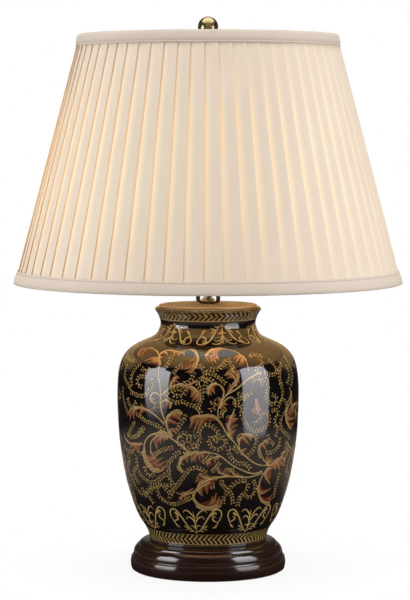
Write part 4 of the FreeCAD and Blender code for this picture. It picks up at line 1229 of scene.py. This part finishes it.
# Fronds as (spine, tips of the lobes, width of a lobe)
FRONDS = (
    ([(161.4, 363.3), (161, 355.6), (159.5, 349.9), (154.6, 346.4), (148.3, 345.7), (143.2, 347.7),
      (140.1, 350.5)], [(140.6, 353.3), (143.4, 355.6), (146.4, 358.8), (149.3, 361.2), (153.4, 361),
      (156.9, 358.4)], 0.0048),
    ([(161.7, 356.9), (162.6, 351.8), (166.1, 349), (172.5, 348), (178.9, 349.2), (184.6, 350.5)],
      [(185.3, 352), (180.8, 353.8), (175.7, 354.1), (169.9, 353.8), (166.1, 355.1)], 0.0040),
    ([(182.1, 350.9), (186.5, 348), (192.9, 347.7), (197.4, 351.1), (198.9, 356.2), (197, 361.4),
      (192.9, 366.5)], [(186.3, 354.1), (188.8, 358.4), (183.3, 363.3), (181.2, 366.8), (186.3, 369.9),
      (190.1, 371.7), (194.8, 368.6)], 0.0044),
    ([(224.8, 346.4), (218.4, 346.7), (212.7, 349), (209.2, 352.4)], [(208, 356.2), (210.8, 360.5),
      (214.8, 362.2), (218.7, 362.2), (221, 358.4), (220.7, 354.1)], 0.0058),
    ([(247.1, 358.4), (245.2, 355), (242, 354.1), (238.6, 355.6)], [(235.8, 357.1), (237.6, 360.5),
      (241.4, 362.2), (244.2, 363)], 0.0040),
    ([(172.5, 384.9), (173.5, 381.1), (176.1, 377.3), (179.5, 373.7)], [(173.3, 376.3), (175.3, 374),
      (177.9, 372.7), (181.7, 376), (180.9, 379.8), (178.4, 382.7)], 0.0036),
    ([(164.8, 392), (169.9, 386.9), (176.3, 383.4), (184, 382.7), (191.6, 384.9), (198, 389.4),
      (199.9, 394.5)], [(202.3, 396.7), (201.1, 400.5), (197.2, 401.8), (193.7, 399.5), (191.9, 395.4),
      (189.3, 391.3), (185.3, 387)], 0.0050),
    ([(181.4, 383), (187.8, 382.4), (193.5, 381.1), (198.3, 378.3)], [(199.3, 377), (198, 380.6),
      (194.2, 382.7)], 0.0034),
    ([(221.2, 404.3), (222.8, 399), (224.8, 393.9), (225.4, 388.8), (223.3, 384.3), (218.4, 382),
      (213.6, 383.7), (210.8, 388.8)], [(210.8, 394.1), (213.6, 393.6), (216.9, 391.8), (219.2, 394.9),
      (220.7, 398.3)], 0.0046),
    ([(226.7, 393.9), (229.9, 390.1), (234.4, 384.9), (237.6, 379.8), (238.8, 374.7), (236.3, 370.9),
      (232.4, 369)], [(225.4, 373.2), (227.6, 369.9), (230.5, 367.9), (228.1, 376), (237.6, 367.1),
      (242.1, 374.5), (241.9, 379.1), (231.2, 381.1)], 0.0048),
    ([(222.2, 406.6), (224.8, 401.5), (228.6, 397.1), (233.1, 395.2), (236.3, 397.7), (235.6, 400.9)],
      [(236.5, 401.5), (233.7, 402.3), (230.5, 402.3), (228, 403.1)], 0.0038),
    ([(172.5, 434.7), (169.7, 427), (168.7, 420.7), (170.6, 414.9), (175.7, 410.7), (181.4, 410.2)],
      [(185, 412.5), (183.5, 415.8), (184.2, 420), (181.4, 423.5), (177.6, 426.4), (174.5, 429.3)],
      0.0054),
    ([(224.8, 424.5), (221, 418.8), (214.6, 414.9), (206.9, 414.3), (199.3, 414.9), (194.2, 416.2)],
      [(191.1, 415.3), (192.3, 420), (191.4, 426.4), (195.2, 431.4), (199.8, 429.8), (201.3, 425.1),
      (205.9, 421.9), (210.8, 420)], 0.0050),
    ([(234.4, 437.2), (231.2, 430.9), (231.2, 424.5), (233.1, 416.8), (236.3, 409.2)], [(227.9, 414.3),
      (227.1, 420.9), (229.6, 413), (238.1, 413), (241, 416.6), (240.5, 422.2), (238.6, 427.8)],
      0.0050),
    ([(258.2, 395.8), (258.5, 399.6), (258.2, 402.8)], [(251.8, 409.2), (254.6, 412.5), (258, 413.5),
      (261.3, 412), (264.1, 408.7)], 0.0046),
    ([(293.7, 388.8), (291.1, 396.4), (288.6, 404.1), (287.9, 413), (289.8, 420.7), (292.4, 425.8)],
      [(296.5, 406.6), (297.2, 414.3), (296.2, 419.9), (294.2, 425)], 0.0046),
    ([(171.2, 435.7), (166.1, 431.9), (159.1, 431.1), (152.1, 433.4), (147.2, 439.8), (145.7, 448.7),
      (147.6, 457.7), (152.7, 464.7), (159.7, 467.2)], [(167.1, 465.6), (169.7, 463), (168.9, 458.9),
      (164.8, 455.1), (161, 451.3), (158.5, 447.4)], 0.0066),
    ([(169.9, 437.9), (163.6, 434.1), (156.6, 435.7), (152.7, 441.7), (153.1, 449.4), (156.6, 456.4)],
      [(160.8, 457.7), (157.4, 452.6), (160, 446.2)], 0.0036),
    ([(169.9, 435.7), (165.1, 434.9), (161.3, 437.9)], [(159.5, 440.8), (162.6, 442.1), (165.9, 440.1)],
      0.0036),
    ([(245.2, 452.6), (242, 447.4), (241.1, 441.1), (243.3, 435.3), (248.4, 433.2), (252.6, 434.4)],
      [(254.4, 436.2), (253.1, 439.8), (251.3, 443.9), (248.8, 446.7), (246.2, 448.2)], 0.0050),
    ([(199.3, 451.3), (191.6, 451.3), (185.3, 454.5), (181.4, 459.6), (180.8, 465.3), (183.3, 469.1)],
      [(186.8, 468.6), (185.5, 463.5), (189.6, 461.2), (188.1, 458.2), (193.5, 456.4)], 0.0046),
    ([(208.2, 450.6), (201.8, 451.3), (198, 453.6), (195.2, 457.1)], [(193.9, 460.7), (198, 460.2),
      (202.1, 459.4), (205.4, 457.1)], 0.0042),
    ([(222.2, 455.1), (217.1, 455.4), (212, 457.7), (209.7, 462.1)], [(210.3, 465.1), (213.1, 463.3),
      (216.9, 461.5), (219.2, 458.4)], 0.0038),
    ([(272, 463.4), (265.6, 457.7), (262.4, 450), (262.4, 443.6), (265, 440.4), (268.8, 441.1)],
      [(269.4, 443.6), (268.2, 448.1), (270.5, 452.6), (274.8, 454.1), (277.3, 457.7), (274.5, 460.5)],
      0.0050),
    ([(270.1, 464.3), (275.8, 460.5), (282.2, 455.1), (286.7, 449.4)], [(288.2, 450.6), (288.3, 458.9),
      (285.5, 465.3), (281.6, 469.1), (277.1, 469.1)], 0.0058),
    ([(274.5, 465.3), (268.2, 469.1), (263.7, 475.5), (261.1, 484.4), (261.5, 493.4), (265, 499.1),
      (270.1, 501)], [(270.2, 471.7), (272.8, 476.3), (268.9, 478.8), (272.2, 482.9), (273.5, 486),
      (269.4, 489.5), (274.5, 492.3), (274, 496.2), (272.2, 499.7)], 0.0056),
    ([(219.7, 476.8), (210.8, 478.7), (203.1, 483.2), (197.4, 488.9), (194.8, 495.3), (198, 502.3),
      (205, 506.1), (213.3, 506.4), (221, 503.6)], [(203.8, 489.5), (208.9, 486.7), (214, 488.3),
      (218.4, 490.8), (221.2, 494.6), (222.8, 498.7), (223.3, 502), (204.4, 494.6), (209.5, 492.7),
      (214.6, 494.6), (217.9, 498.7), (210.8, 498.7)], 0.0066),
    ([(196.7, 489.5), (191.6, 491.5), (186.5, 494), (181.4, 496.6)], [(179.9, 496.2), (182.2, 492.3),
      (183.2, 489.5), (187, 497.4)], 0.0036),
    ([(219.7, 476.8), (212, 476.1), (205.7, 474.5), (201.3, 473.6)], [(196.7, 481.1), (197.8, 477.3),
      (199.8, 473.5), (204.4, 471.7), (209, 471.9), (199.8, 483.2)], 0.0046),
    ([(144.4, 441.7), (138.1, 442.3), (131, 440.1), (127.2, 434.9)], [(141.6, 447.2), (138.8, 449.5),
      (135.5, 451), (131.7, 447.7), (125.6, 428.6)], 0.0040),
    ([(166.1, 423.2), (161, 416.8), (153.4, 410.5), (145.7, 406.6), (138.1, 406.6), (133.6, 410.5)],
      [(131.2, 413.3), (131.9, 418.4), (129.1, 414.8), (136, 417.1), (141.4, 414.3), (142.9, 400.5)],
      0.0042),
    ([(163.6, 406.6), (162.9, 401.5), (166.1, 398.3), (169.9, 399.2), (172, 402.8)], [(170.7, 406.9),
      (168.2, 405.6), (166.6, 403.1)], 0.0032),
    ([(161.7, 393.9), (158.5, 390.7), (154, 392), (152.7, 396.4), (155.9, 400.3)], [(159.5, 399.5),
      (157.4, 395.9)], 0.0030),
    ([(232.4, 474.5), (227.3, 473), (222.9, 471.4), (219.9, 468.1)], [(218.4, 467.3), (222, 466.3),
      (225.1, 468.6), (228.6, 470.4)], 0.0034),
    ([(245.2, 474.5), (238.8, 473.6), (234.4, 470.4), (232.4, 467.9)], [(231.8, 466.3), (235.6, 467.9),
      (239.5, 470.4)], 0.0028),
    ([(122.5, 367.1), (121.7, 362), (123.5, 357.5), (126.8, 354.6)], [(125.6, 358.4), (125.1, 363.3),
      (124.3, 367.1)], 0.0034),
    ([(298.8, 401.5), (297.5, 409.2), (298.3, 416.8)], [(296.5, 414.3), (297, 419.4)], 0.0030),
    ([(293.7, 447.4), (291.1, 443.6), (288.6, 439.8)], [(287.6, 437.8), (286.8, 441.3), (289.8, 446.2)],
      0.0030),
    ([(181.4, 443.6), (179.5, 439.8), (180.2, 436), (183.3, 434.4)], [(185.3, 436.2), (184.2, 439.8),
      (182.4, 443)], 0.0034),
    ([(191.6, 450.6), (188.1, 447.4), (186, 443.6)], [(185.3, 441.7), (187, 444.9)], 0.0026),
)

# Garlands as their stems' points
GARLANDS = (
    [(174.3, 352), (171.8, 357.8), (169.2, 362.2)],
    [(199.2, 366.8), (200.5, 362.2), (204.3, 366), (206.2, 372.4), (203.7, 375.6), (199.8, 380.7),
     (202.6, 385.8), (203.8, 390.9), (203.8, 396), (200.6, 403.5)],
    [(196, 368.7), (194.6, 372.8), (192.3, 377.6), (188.7, 379.9)],
    [(171.1, 389), (168.6, 393.5), (174.3, 399.2), (178.2, 400.5), (183.3, 399.2), (187.7, 401.2),
     (192.8, 402.8), (198.3, 405.4), (201.5, 409)],
    [(172.4, 389.5), (176.9, 387.2), (183.3, 387.2), (186.4, 390), (183, 393.2), (177.2, 393.2)],
    [(129, 361), (127.8, 367.3), (127.1, 373.7), (129, 380), (131.6, 384.3)],
    [(143.7, 360.4), (138.6, 364.5), (135.4, 369.2), (133.5, 373.7), (133.5, 380.7)],
    [(148.3, 374.8), (142.9, 374), (139.9, 376.6), (139.3, 380.4), (142.2, 383.5)],
    [(132.2, 389), (137.3, 391.9), (141.2, 393.2), (146.7, 392.5), (150.5, 388.5)],
    [(129.7, 394.7), (130.3, 399.2), (133.5, 404.3), (137, 401)],
    [(136, 409.4), (141.2, 413.6), (145, 416.8), (148.8, 419.3), (153.9, 421.3), (159, 423.5),
     (163.8, 427)],
    [(137.3, 419.3), (134.8, 422.5), (132.2, 427.9), (130.3, 431.7)],
    [(188, 411.7), (186.5, 415.9), (183.3, 420.3), (181, 424.8), (177.9, 428.6)],
    [(207.5, 421), (203.4, 425.3), (200.8, 431), (201.8, 436.4), (199.8, 441.5), (198.6, 447.2)],
    [(207, 369.2), (213.1, 371.1), (218.2, 373.7), (222, 376.2), (225.6, 379.5)],
    [(211.1, 366), (217.6, 367), (222, 364.8), (226.5, 361.2), (229, 357.8), (232.2, 360.7),
     (234.4, 364.5)],
    [(251.4, 354.6), (255, 352.2), (259.2, 352.6), (263.4, 353), (261.2, 356.8), (264.1, 360),
     (260.9, 363.9), (258.4, 367.5)],
    [(265.4, 368.6), (269.2, 371.1), (273.7, 372.4), (277.4, 370.6), (280.4, 367.1)],
    [(269.2, 374.4), (268.6, 379.2), (269.9, 384.3), (268.6, 389.4), (268, 394.5), (270.4, 399),
     (273.5, 401.5), (277.4, 400.2), (278, 395.7), (275.1, 393.2)],
    [(283.3, 359.7), (282, 366), (281.3, 371.8), (282, 378.2), (283.3, 383.3), (284.5, 389.6),
     (283.9, 396), (281.3, 402.4)],
    [(287.1, 361.6), (289.6, 366.7), (290.9, 371.8), (289.6, 378.9)],
    [(238.6, 390.5), (242.9, 392.4), (247.3, 393.2), (251.4, 391.4)],
    [(235.8, 403), (240.4, 402.6), (243.7, 405.4), (243.4, 410.5), (244.7, 415.6), (246.6, 420.1),
     (249.8, 424.5), (254.9, 427.7), (260, 428.5), (265.1, 426.1), (269.6, 421.9), (271, 415.2),
     (268, 410), (264.4, 413.2)],
    [(272.8, 408.8), (277.4, 407.5), (280.1, 411), (277.5, 415.4), (276.9, 421.3), (279.4, 426.2),
     (278.2, 431.8)],
    [(211.8, 401.4), (216.3, 399.6), (217.6, 403.3), (213.6, 407)],
    [(206, 422.9), (212.1, 423.5), (216.6, 426.7), (219.8, 430.5), (217.8, 434.8), (212.6, 436)],
    [(175.5, 445.5), (169.2, 446.3), (164.1, 448.1), (159.6, 450.6), (156.2, 452.9)],
    [(182.6, 449.5), (177.5, 452.4), (174.2, 456.2), (171.5, 460.1), (170.1, 464.9), (170.7, 469.4),
     (170.6, 474.8), (173.1, 479.5), (175.6, 483.7)],
    [(168, 471.7), (164.1, 474.5), (160.9, 477.5), (157.1, 479.7), (152.6, 480.6), (148.2, 478.2),
     (144.4, 475.1), (141.7, 470.8)],
    [(146.3, 463.9), (147.5, 469), (150.6, 473.5), (154.8, 472.7)],
    [(208.5, 471.5), (203.1, 467.2), (197, 466.2), (191.3, 468), (187.6, 472.3), (184.3, 476.4),
     (181.7, 480.2), (178.7, 484), (175.5, 487.8), (173.7, 491.5)],
    [(162.2, 481.7), (159.5, 485.6), (159.5, 490.2), (162.1, 495.3), (166.5, 499.1), (171.6, 501.8),
     (176.7, 502.6), (182.5, 501.3), (186.9, 499.2), (190.8, 497.2)],
    [(156.5, 487.1), (152, 485.8), (149.5, 489.7), (147.5, 493.5)],
    [(164.5, 483.4), (167.7, 487.3), (170.7, 490.2), (171.3, 494.7)],
    [(197.3, 446.3), (194.1, 441.7), (189.6, 439.2), (185.2, 441.1), (184.4, 444.9)],
    [(129, 452.2), (131.6, 458.3), (129.7, 464.4), (131, 470)],
    [(138.6, 453), (138, 457.4), (139.3, 462.9), (136, 468.3), (136.7, 474.6), (139.9, 479.5)],
    [(129, 431.7), (134.8, 434.8), (139.9, 432.6), (143.1, 429.4)],
    [(203.3, 461.6), (206.8, 458.6), (210.5, 454.7)],
    [(226.5, 436.6), (227.5, 441), (224.1, 445.6), (219.2, 447.4), (213.8, 445.1), (211.3, 440.6)],
    [(240.4, 451.8), (236.4, 446.6), (231.6, 446.5), (231.2, 452.1), (235.3, 457.9), (240.1, 461.5),
     (245.4, 461.5), (250.6, 465.6)],
    [(253.9, 431.6), (258, 435.1), (258.3, 440.2), (256.4, 445.3), (253.7, 449.8), (249.6, 453.6)],
    [(269.2, 431.9), (270.9, 437.4), (274.4, 441)],
    [(267, 450.5), (272.1, 450.5), (276.6, 448.1), (280.6, 443.6), (281.6, 438.2)],
    [(254.6, 478.4), (257, 483), (257, 488.1), (254.7, 493.2), (250.4, 495.5), (247.3, 493.2)],
    [(248.8, 479.8), (243.7, 479.2), (239.3, 480.3), (235.3, 482.9), (232.1, 486.6), (229.7, 490.4),
     (226.2, 494.9), (225.3, 500.2)],
    [(249.8, 481.1), (249.3, 486.2), (246.8, 490), (243.6, 493.9), (241, 498.3), (239.9, 502.2)],
    [(231, 489.7), (234, 494.8), (234.6, 499.9)],
    [(223.3, 477.9), (224.4, 483), (226.9, 486.2)],
    [(213.7, 480.2), (214.2, 484.9)],
    [(226.7, 466.4), (229.6, 468.4), (234.1, 468.1)],
    [(286.4, 444.7), (289.6, 450.5), (287.1, 455), (285.8, 461.6)],
    [(282, 470), (279.5, 478), (277.5, 486), (276, 494)],
    [(143.5, 485), (146.2, 490), (150.6, 494.6), (154, 499.6)],
    [(151.6, 396.2), (156, 399.6), (157.8, 404.6), (154.6, 407.4)],
    [(146.6, 424.6), (142.6, 427.6), (140.2, 431.8)],
    [(152.6, 376.2), (155.4, 381.6), (153.8, 387)],
    [(209.6, 375.2), (207.8, 381), (207, 388.2)],
    [(253.4, 379.6), (257.6, 376.4), (261.6, 377.2)],
    [(262.6, 384), (263.6, 379.6), (262, 374.6)],
    [(228.6, 406), (224.6, 409.6), (223.6, 413.2)],
    [(248.2, 398.2), (246, 395.8), (241.8, 396.6)],
    [(180.6, 433.8), (186.6, 431.2), (190.6, 434.4), (194.8, 434.4)],
    [(125.4, 384), (124.8, 392), (126.4, 400), (128.6, 407.4)],
    [(136.4, 358.4), (131.4, 355.6), (127.4, 352.8)],
    [(286, 396.4), (288.6, 406.6), (284.7, 413), (282.2, 421.9), (287.3, 430.9), (291.1, 434.7)],
    [(287.3, 443.6), (292.4, 451.3), (289.9, 460.2), (288.6, 467.9)],
    [(284.7, 352.4), (291.1, 362), (294, 370.9), (293.2, 381.1)],
    [(126.2, 441.8), (128.8, 447.4), (134.2, 449.6)],
    [(133, 472), (135.6, 480), (139, 487), (143, 492)],
    [(152.1, 492.1), (154.6, 486.6), (163.6, 483.1), (170.8, 483.8)],
    [(146.6, 448.6), (142.4, 451.4), (138.8, 446.8)],
    [(262.8, 410.2), (262.2, 416.4), (257.4, 420.8)],
    [(212.8, 470.2), (216.6, 467.2), (220.2, 463)],
    [(203.4, 377.4), (210.4, 376.6), (215.4, 379.6)],
    [(185.4, 362.6), (180.2, 364.6), (176.6, 369)],
    [(152.4, 364.8), (148.8, 368.4), (145, 366.6)],
    [(269.8, 357.4), (274.6, 360.6), (277.6, 365.4)],
    [(216.8, 440.8), (219.6, 437), (224, 436)],
    [(186.6, 456.6), (189, 447.2), (192.8, 445.6)],
)

for points, first, last in STEMS:
    stem(points, first, last)
for spine, tips, width in FRONDS:
    frond(spine, tips, width)
for points in GARLANDS:
    garland(points)


# The motif's apex, width and height where its points were read, enlarged 15 times
APEX_X, APEX_Y, MOTIF_WIDE, MOTIF_TALL = 680, 700, 1200, 550


def px_unit(points):
    """Motif points as shares of the motif's width and height."""
    return [((x - APEX_X) / MOTIF_WIDE, (APEX_Y - y) / MOTIF_TALL) for x, y in points]


ARM = px_unit(
    [(690, 700), (540, 570), (440, 420), (340, 260), (230, 165)]
    + [(150, 190), (125, 300), (175, 420), (230, 560)]
)
ARM_CURL = px_unit([(200, 440), (260, 400), (300, 370), (285, 325), (235, 320)])
ARM_LEAF = px_unit([(345, 300), (290, 270), (250, 225), (235, 270)])
FOOT_TAIL = px_unit([(215, 480), (250, 540), (300, 555)])
HEART = px_unit([(690, 680), (685, 540), (670, 400), (655, 300), (650, 205)])
HOOKS = (
    px_unit([(668, 340), (600, 250), (530, 190), (465, 185), (430, 235)]),
    px_unit([(670, 450), (630, 370), (560, 320), (500, 330), (490, 375)]),
    px_unit([(680, 580), (645, 525), (605, 505), (570, 530)]),
)
SPRIGS = (
    px_unit([(560, 590), (490, 590), (420, 625)]),
    px_unit([(520, 560), (455, 545), (410, 505)]),
    px_unit([(620, 650), (560, 640), (500, 660)]),
)
HALF = [(ARM, 1.05), (ARM_CURL, 1.1), (ARM_LEAF, 1.5), (FOOT_TAIL, 1.4)]
HALF += [(line, 1.0) for line in (*HOOKS, *SPRIGS)]


def palmette(centre, span, apex, rise):
    """A heart of two scrolled arms with hooked leaves on the stem between them.

    Centre and span are in degrees, apex is its height on the jar, and a rise below 0 hangs the motif.
    """
    centre, span, level = math.radians(centre), math.radians(span), chart.level(apex)
    strokes = [(line, wide, side) for side in (1, -1) for line, wide in HALF]
    for line, wide, side in (*strokes, (HEART, 1.0, 1)):
        path = curve([(centre + x * side * span, level + y * rise) for x, y in line], 0.0016)
        t = np.linspace(0.0, 1.0, len(path))
        width = 0.0016 * wide * (0.45 + 0.75 * np.sin(np.pi * t**0.8))
        borders.ribbon(path, width, (0.0, 0.26, 0.84), 0.00015)


for k in range(8):
    palmette(-10 + 45 * k, 43, 0.0515, 0.0325)
for k in range(6):
    palmette(16 + 60 * k, 58, 0.2800, -0.030)


def ring_line(brush, height, width, tones, lift=0.00013):
    """A line painted once round the jar."""
    turns = np.linspace(0.0, 2 * math.pi, 181)
    path = np.stack([turns, np.full_like(turns, chart.level(height))], 1)
    brush.ribbon(path, width, tones, lift)


def chevrons(low, high, count, way, share):
    """A band of arrow marks round the jar, pointing one way, with thin black gaps between them."""
    low, high = chart.level(low), chart.level(high)
    middle = low + (high - low) * share
    pitch = 2 * math.pi / count
    for k in range(count):
        start = k * pitch
        tip = start + way * pitch * 0.88
        for end in (low, high):
            bands.slant(tip, start, middle, end, pitch * chance.uniform(0.46, 0.58), (0.14, 0.34, 0.76))


for height, width, tone in ((0.0358, 0.0012, 0.75), (0.0378, 0.0010, 0.42), (0.0496, 0.0009, 0.50)):
    ring_line(bands, height, width, (tone, tone, tone + 0.2))
chevrons(0.0384, 0.0491, 80, -1, 0.5)
ring_line(bands, 0.2828, 0.0011, (0.3, 0.3, 0.5))
chevrons(0.2834, 0.2947, 60, 1, 0.40)
rim_gilt = Brush("painted_rim", "gilt_rim")
for height in (0.2950, 0.2954):
    ring_line(rim_gilt, height, 0.0012, (0.1, 0.1, 0.2), 0.00014)

for brush in (scrolls, garlands, borders, bands, rim_gilt):
    brush.lay()


# Finishes of the nodes that stay as they are


REPLACED = {"wooden_base", "jar", "jar_cap", "finial", "threaded_tube", "bulb_glass"}
REPLACED |= {"shade_pleats", "shade_lining", "shade_bottom_tape", "shade_top_tape"}
for name, piece in nodes.items():
    if name in REPLACED:
        continue
    slot = "nickel" if name == "saddle_nut" else piece.data.materials[0].name.split(".")[0]
    piece.data.materials.clear()
    piece.data.materials.append(finishes[slot])


# Floor, lights and camera


start_clean()
bpy.ops.mesh.primitive_plane_add(size=9.0, location=(0, 1.5, 0))
floor = current()
floor.name = "floor"
bpy.ops.object.transform_apply(location=True, rotation=True, scale=True)
floor.data.materials.append(floor_finish())


def softbox(name, turn, height, wide, tall, far, watts, aim=0.25):
    """A studio softbox, turn degrees to the right of the camera round the lamp, aimed at a height."""
    data = bpy.data.lights.new(name, "AREA")
    data.shape = "RECTANGLE"
    data.size, data.size_y = wide, tall
    data.energy = watts
    data.color = (1.0, 0.98, 0.96)
    box = bpy.data.objects.new(name, data)
    bpy.context.scene.collection.objects.link(box)
    a = math.radians(turn)
    box.location = (far * math.sin(a), -far * math.cos(a), height)
    flat = math.hypot(box.location.x, box.location.y)
    box.rotation_euler = (math.pi / 2 - math.atan2(height - aim, flat), 0.0, a)
    box.visible_glossy = False


def mirror_only(piece, material):
    """Stages a piece that only gloss sees."""
    piece.data.materials.append(material)
    piece.visible_camera = piece.visible_diffuse = False
    piece.visible_transmission = piece.visible_shadow = False


def mirrored(name, first, last, low, high, far, strength, colour, low_fade):
    """A painted reflection that only gloss sees: a bent bright sheet from one turn to another, such as the
    glaze's mirror image of a softbox.
    """
    points, flat, bends = [], [], 8
    for i, height in enumerate((low, high)):
        for j in range(bends + 1):
            a = math.radians(first + (last - first) * j / bends)
            points.append((far * math.sin(a), -far * math.cos(a), height))
            flat.append((j / bends, i))
    sheet = skin(name, points, strip(2, bends + 1), flat)
    mirror_only(sheet, panel_finish(name, strength, colour, low_fade))


softbox("left_box", -64, 0.50, 0.95, 1.15, 1.6, 16.5)
softbox("right_box", 60, 0.50, 0.95, 1.15, 1.6, 16.0)
softbox("top_box", 12, 1.9, 0.42, 0.5, 0.4, 11.0, aim=0.4)
softbox("back_box", 180, 1.1, 1.3, 0.9, 2.2, 11.0, aim=0.4)
mirrored("left_mirrored", -84, -47, 0.0, 0.88, 0.95, 5.4, ink(238, 234, 236), 0.16)
mirrored("right_mirrored", 39, 78, 0.0, 0.80, 0.60, 5.0, ink(236, 232, 236), 0.04)
# Painted reflections only gloss sees: warm sheets beside the lamp that stand in for the lamp-lit shade and
# room mirrored in the jar's shoulders
for name, first, last in (("left_warm_reflection", -176, -96), ("right_warm_reflection", 96, 176)):
    mirrored(name, first, last, 0.236, 0.60, 0.30, 1.2, ink(255, 206, 136), 0.1)
# Painted highlights only gloss sees: a sheet in front of the finial and a ceiling over the lamp, which light
# its dome in reflection
mirrored("front_mirrored", -30, 30, 0.60, 1.25, 0.60, 0.34, ink(240, 230, 200), 0.05)
corners, reach, ceiling_height = ((0, 0), (1, 0), (1, 1), (0, 1)), 0.8, 1.3
spread = [((2 * x - 1) * reach, (2 * y - 1) * reach, ceiling_height) for x, y in corners]
ceiling = skin("ceiling_mirrored", spread, [(0, 1, 2, 3)], corners)
mirror_only(ceiling, panel_finish("ceiling_mirrored", 1.5, ink(255, 250, 236), 0.2))

bulb_data = bpy.data.lights.new("bulb_light", "POINT")
bulb_data.energy = 34.0
bulb_data.color = (1.0, 0.61, 0.28)
bulb_data.shadow_soft_size = 0.032
bulb_light = bpy.data.objects.new("bulb_light", bulb_data)
bulb_light.location = (0, 0, 0.4401)
bulb_light.visible_glossy = False
bpy.context.scene.collection.objects.link(bulb_light)


def studio_world():
    """White for the camera and glass, a dark room for gloss and a level light on everything else."""
    world = bpy.data.worlds.new("studio")
    bpy.context.scene.world = world
    world.use_nodes = True
    f = Finish.__new__(Finish)
    f.tree = world.node_tree
    back = f.axis("Y", f.node("ShaderNodeTexCoord", output="Generated"))
    seen, by_gloss = f.rays()
    room = f.ramp(
        back * 0.5 + 0.5,
        (0.00, (0.022, 0.020, 0.018, 1.0)),
        (0.34, (0.02, 0.018, 0.016, 1.0)),
        (0.62, (0.03, 0.025, 0.02, 1.0)),
        (0.985, (0.05, 0.04, 0.03, 1.0)),
        (1.00, (0.30, 0.27, 0.24, 1.0)),
    )
    studio = f.mix(by_gloss, (0.42, 0.43, 0.44, 1.0), room)
    f.feed(f.tree.nodes["Background"].inputs["Color"], f.mix(seen, studio, WHITE))


studio_world()

camera_data = bpy.data.cameras.new("camera")
camera_data.sensor_width = 36.0
camera_data.lens = 141.30
camera_down = 4.104
camera = bpy.data.objects.new("camera", camera_data)
camera.location = (-0.0034, -2.6253, 0.4911)
camera.rotation_euler = (math.radians(90.0 - camera_down), 0.0, 0.0)
bpy.context.scene.collection.objects.link(camera)
bpy.context.scene.camera = camera
bpy.context.scene.view_settings.view_transform = "Standard"
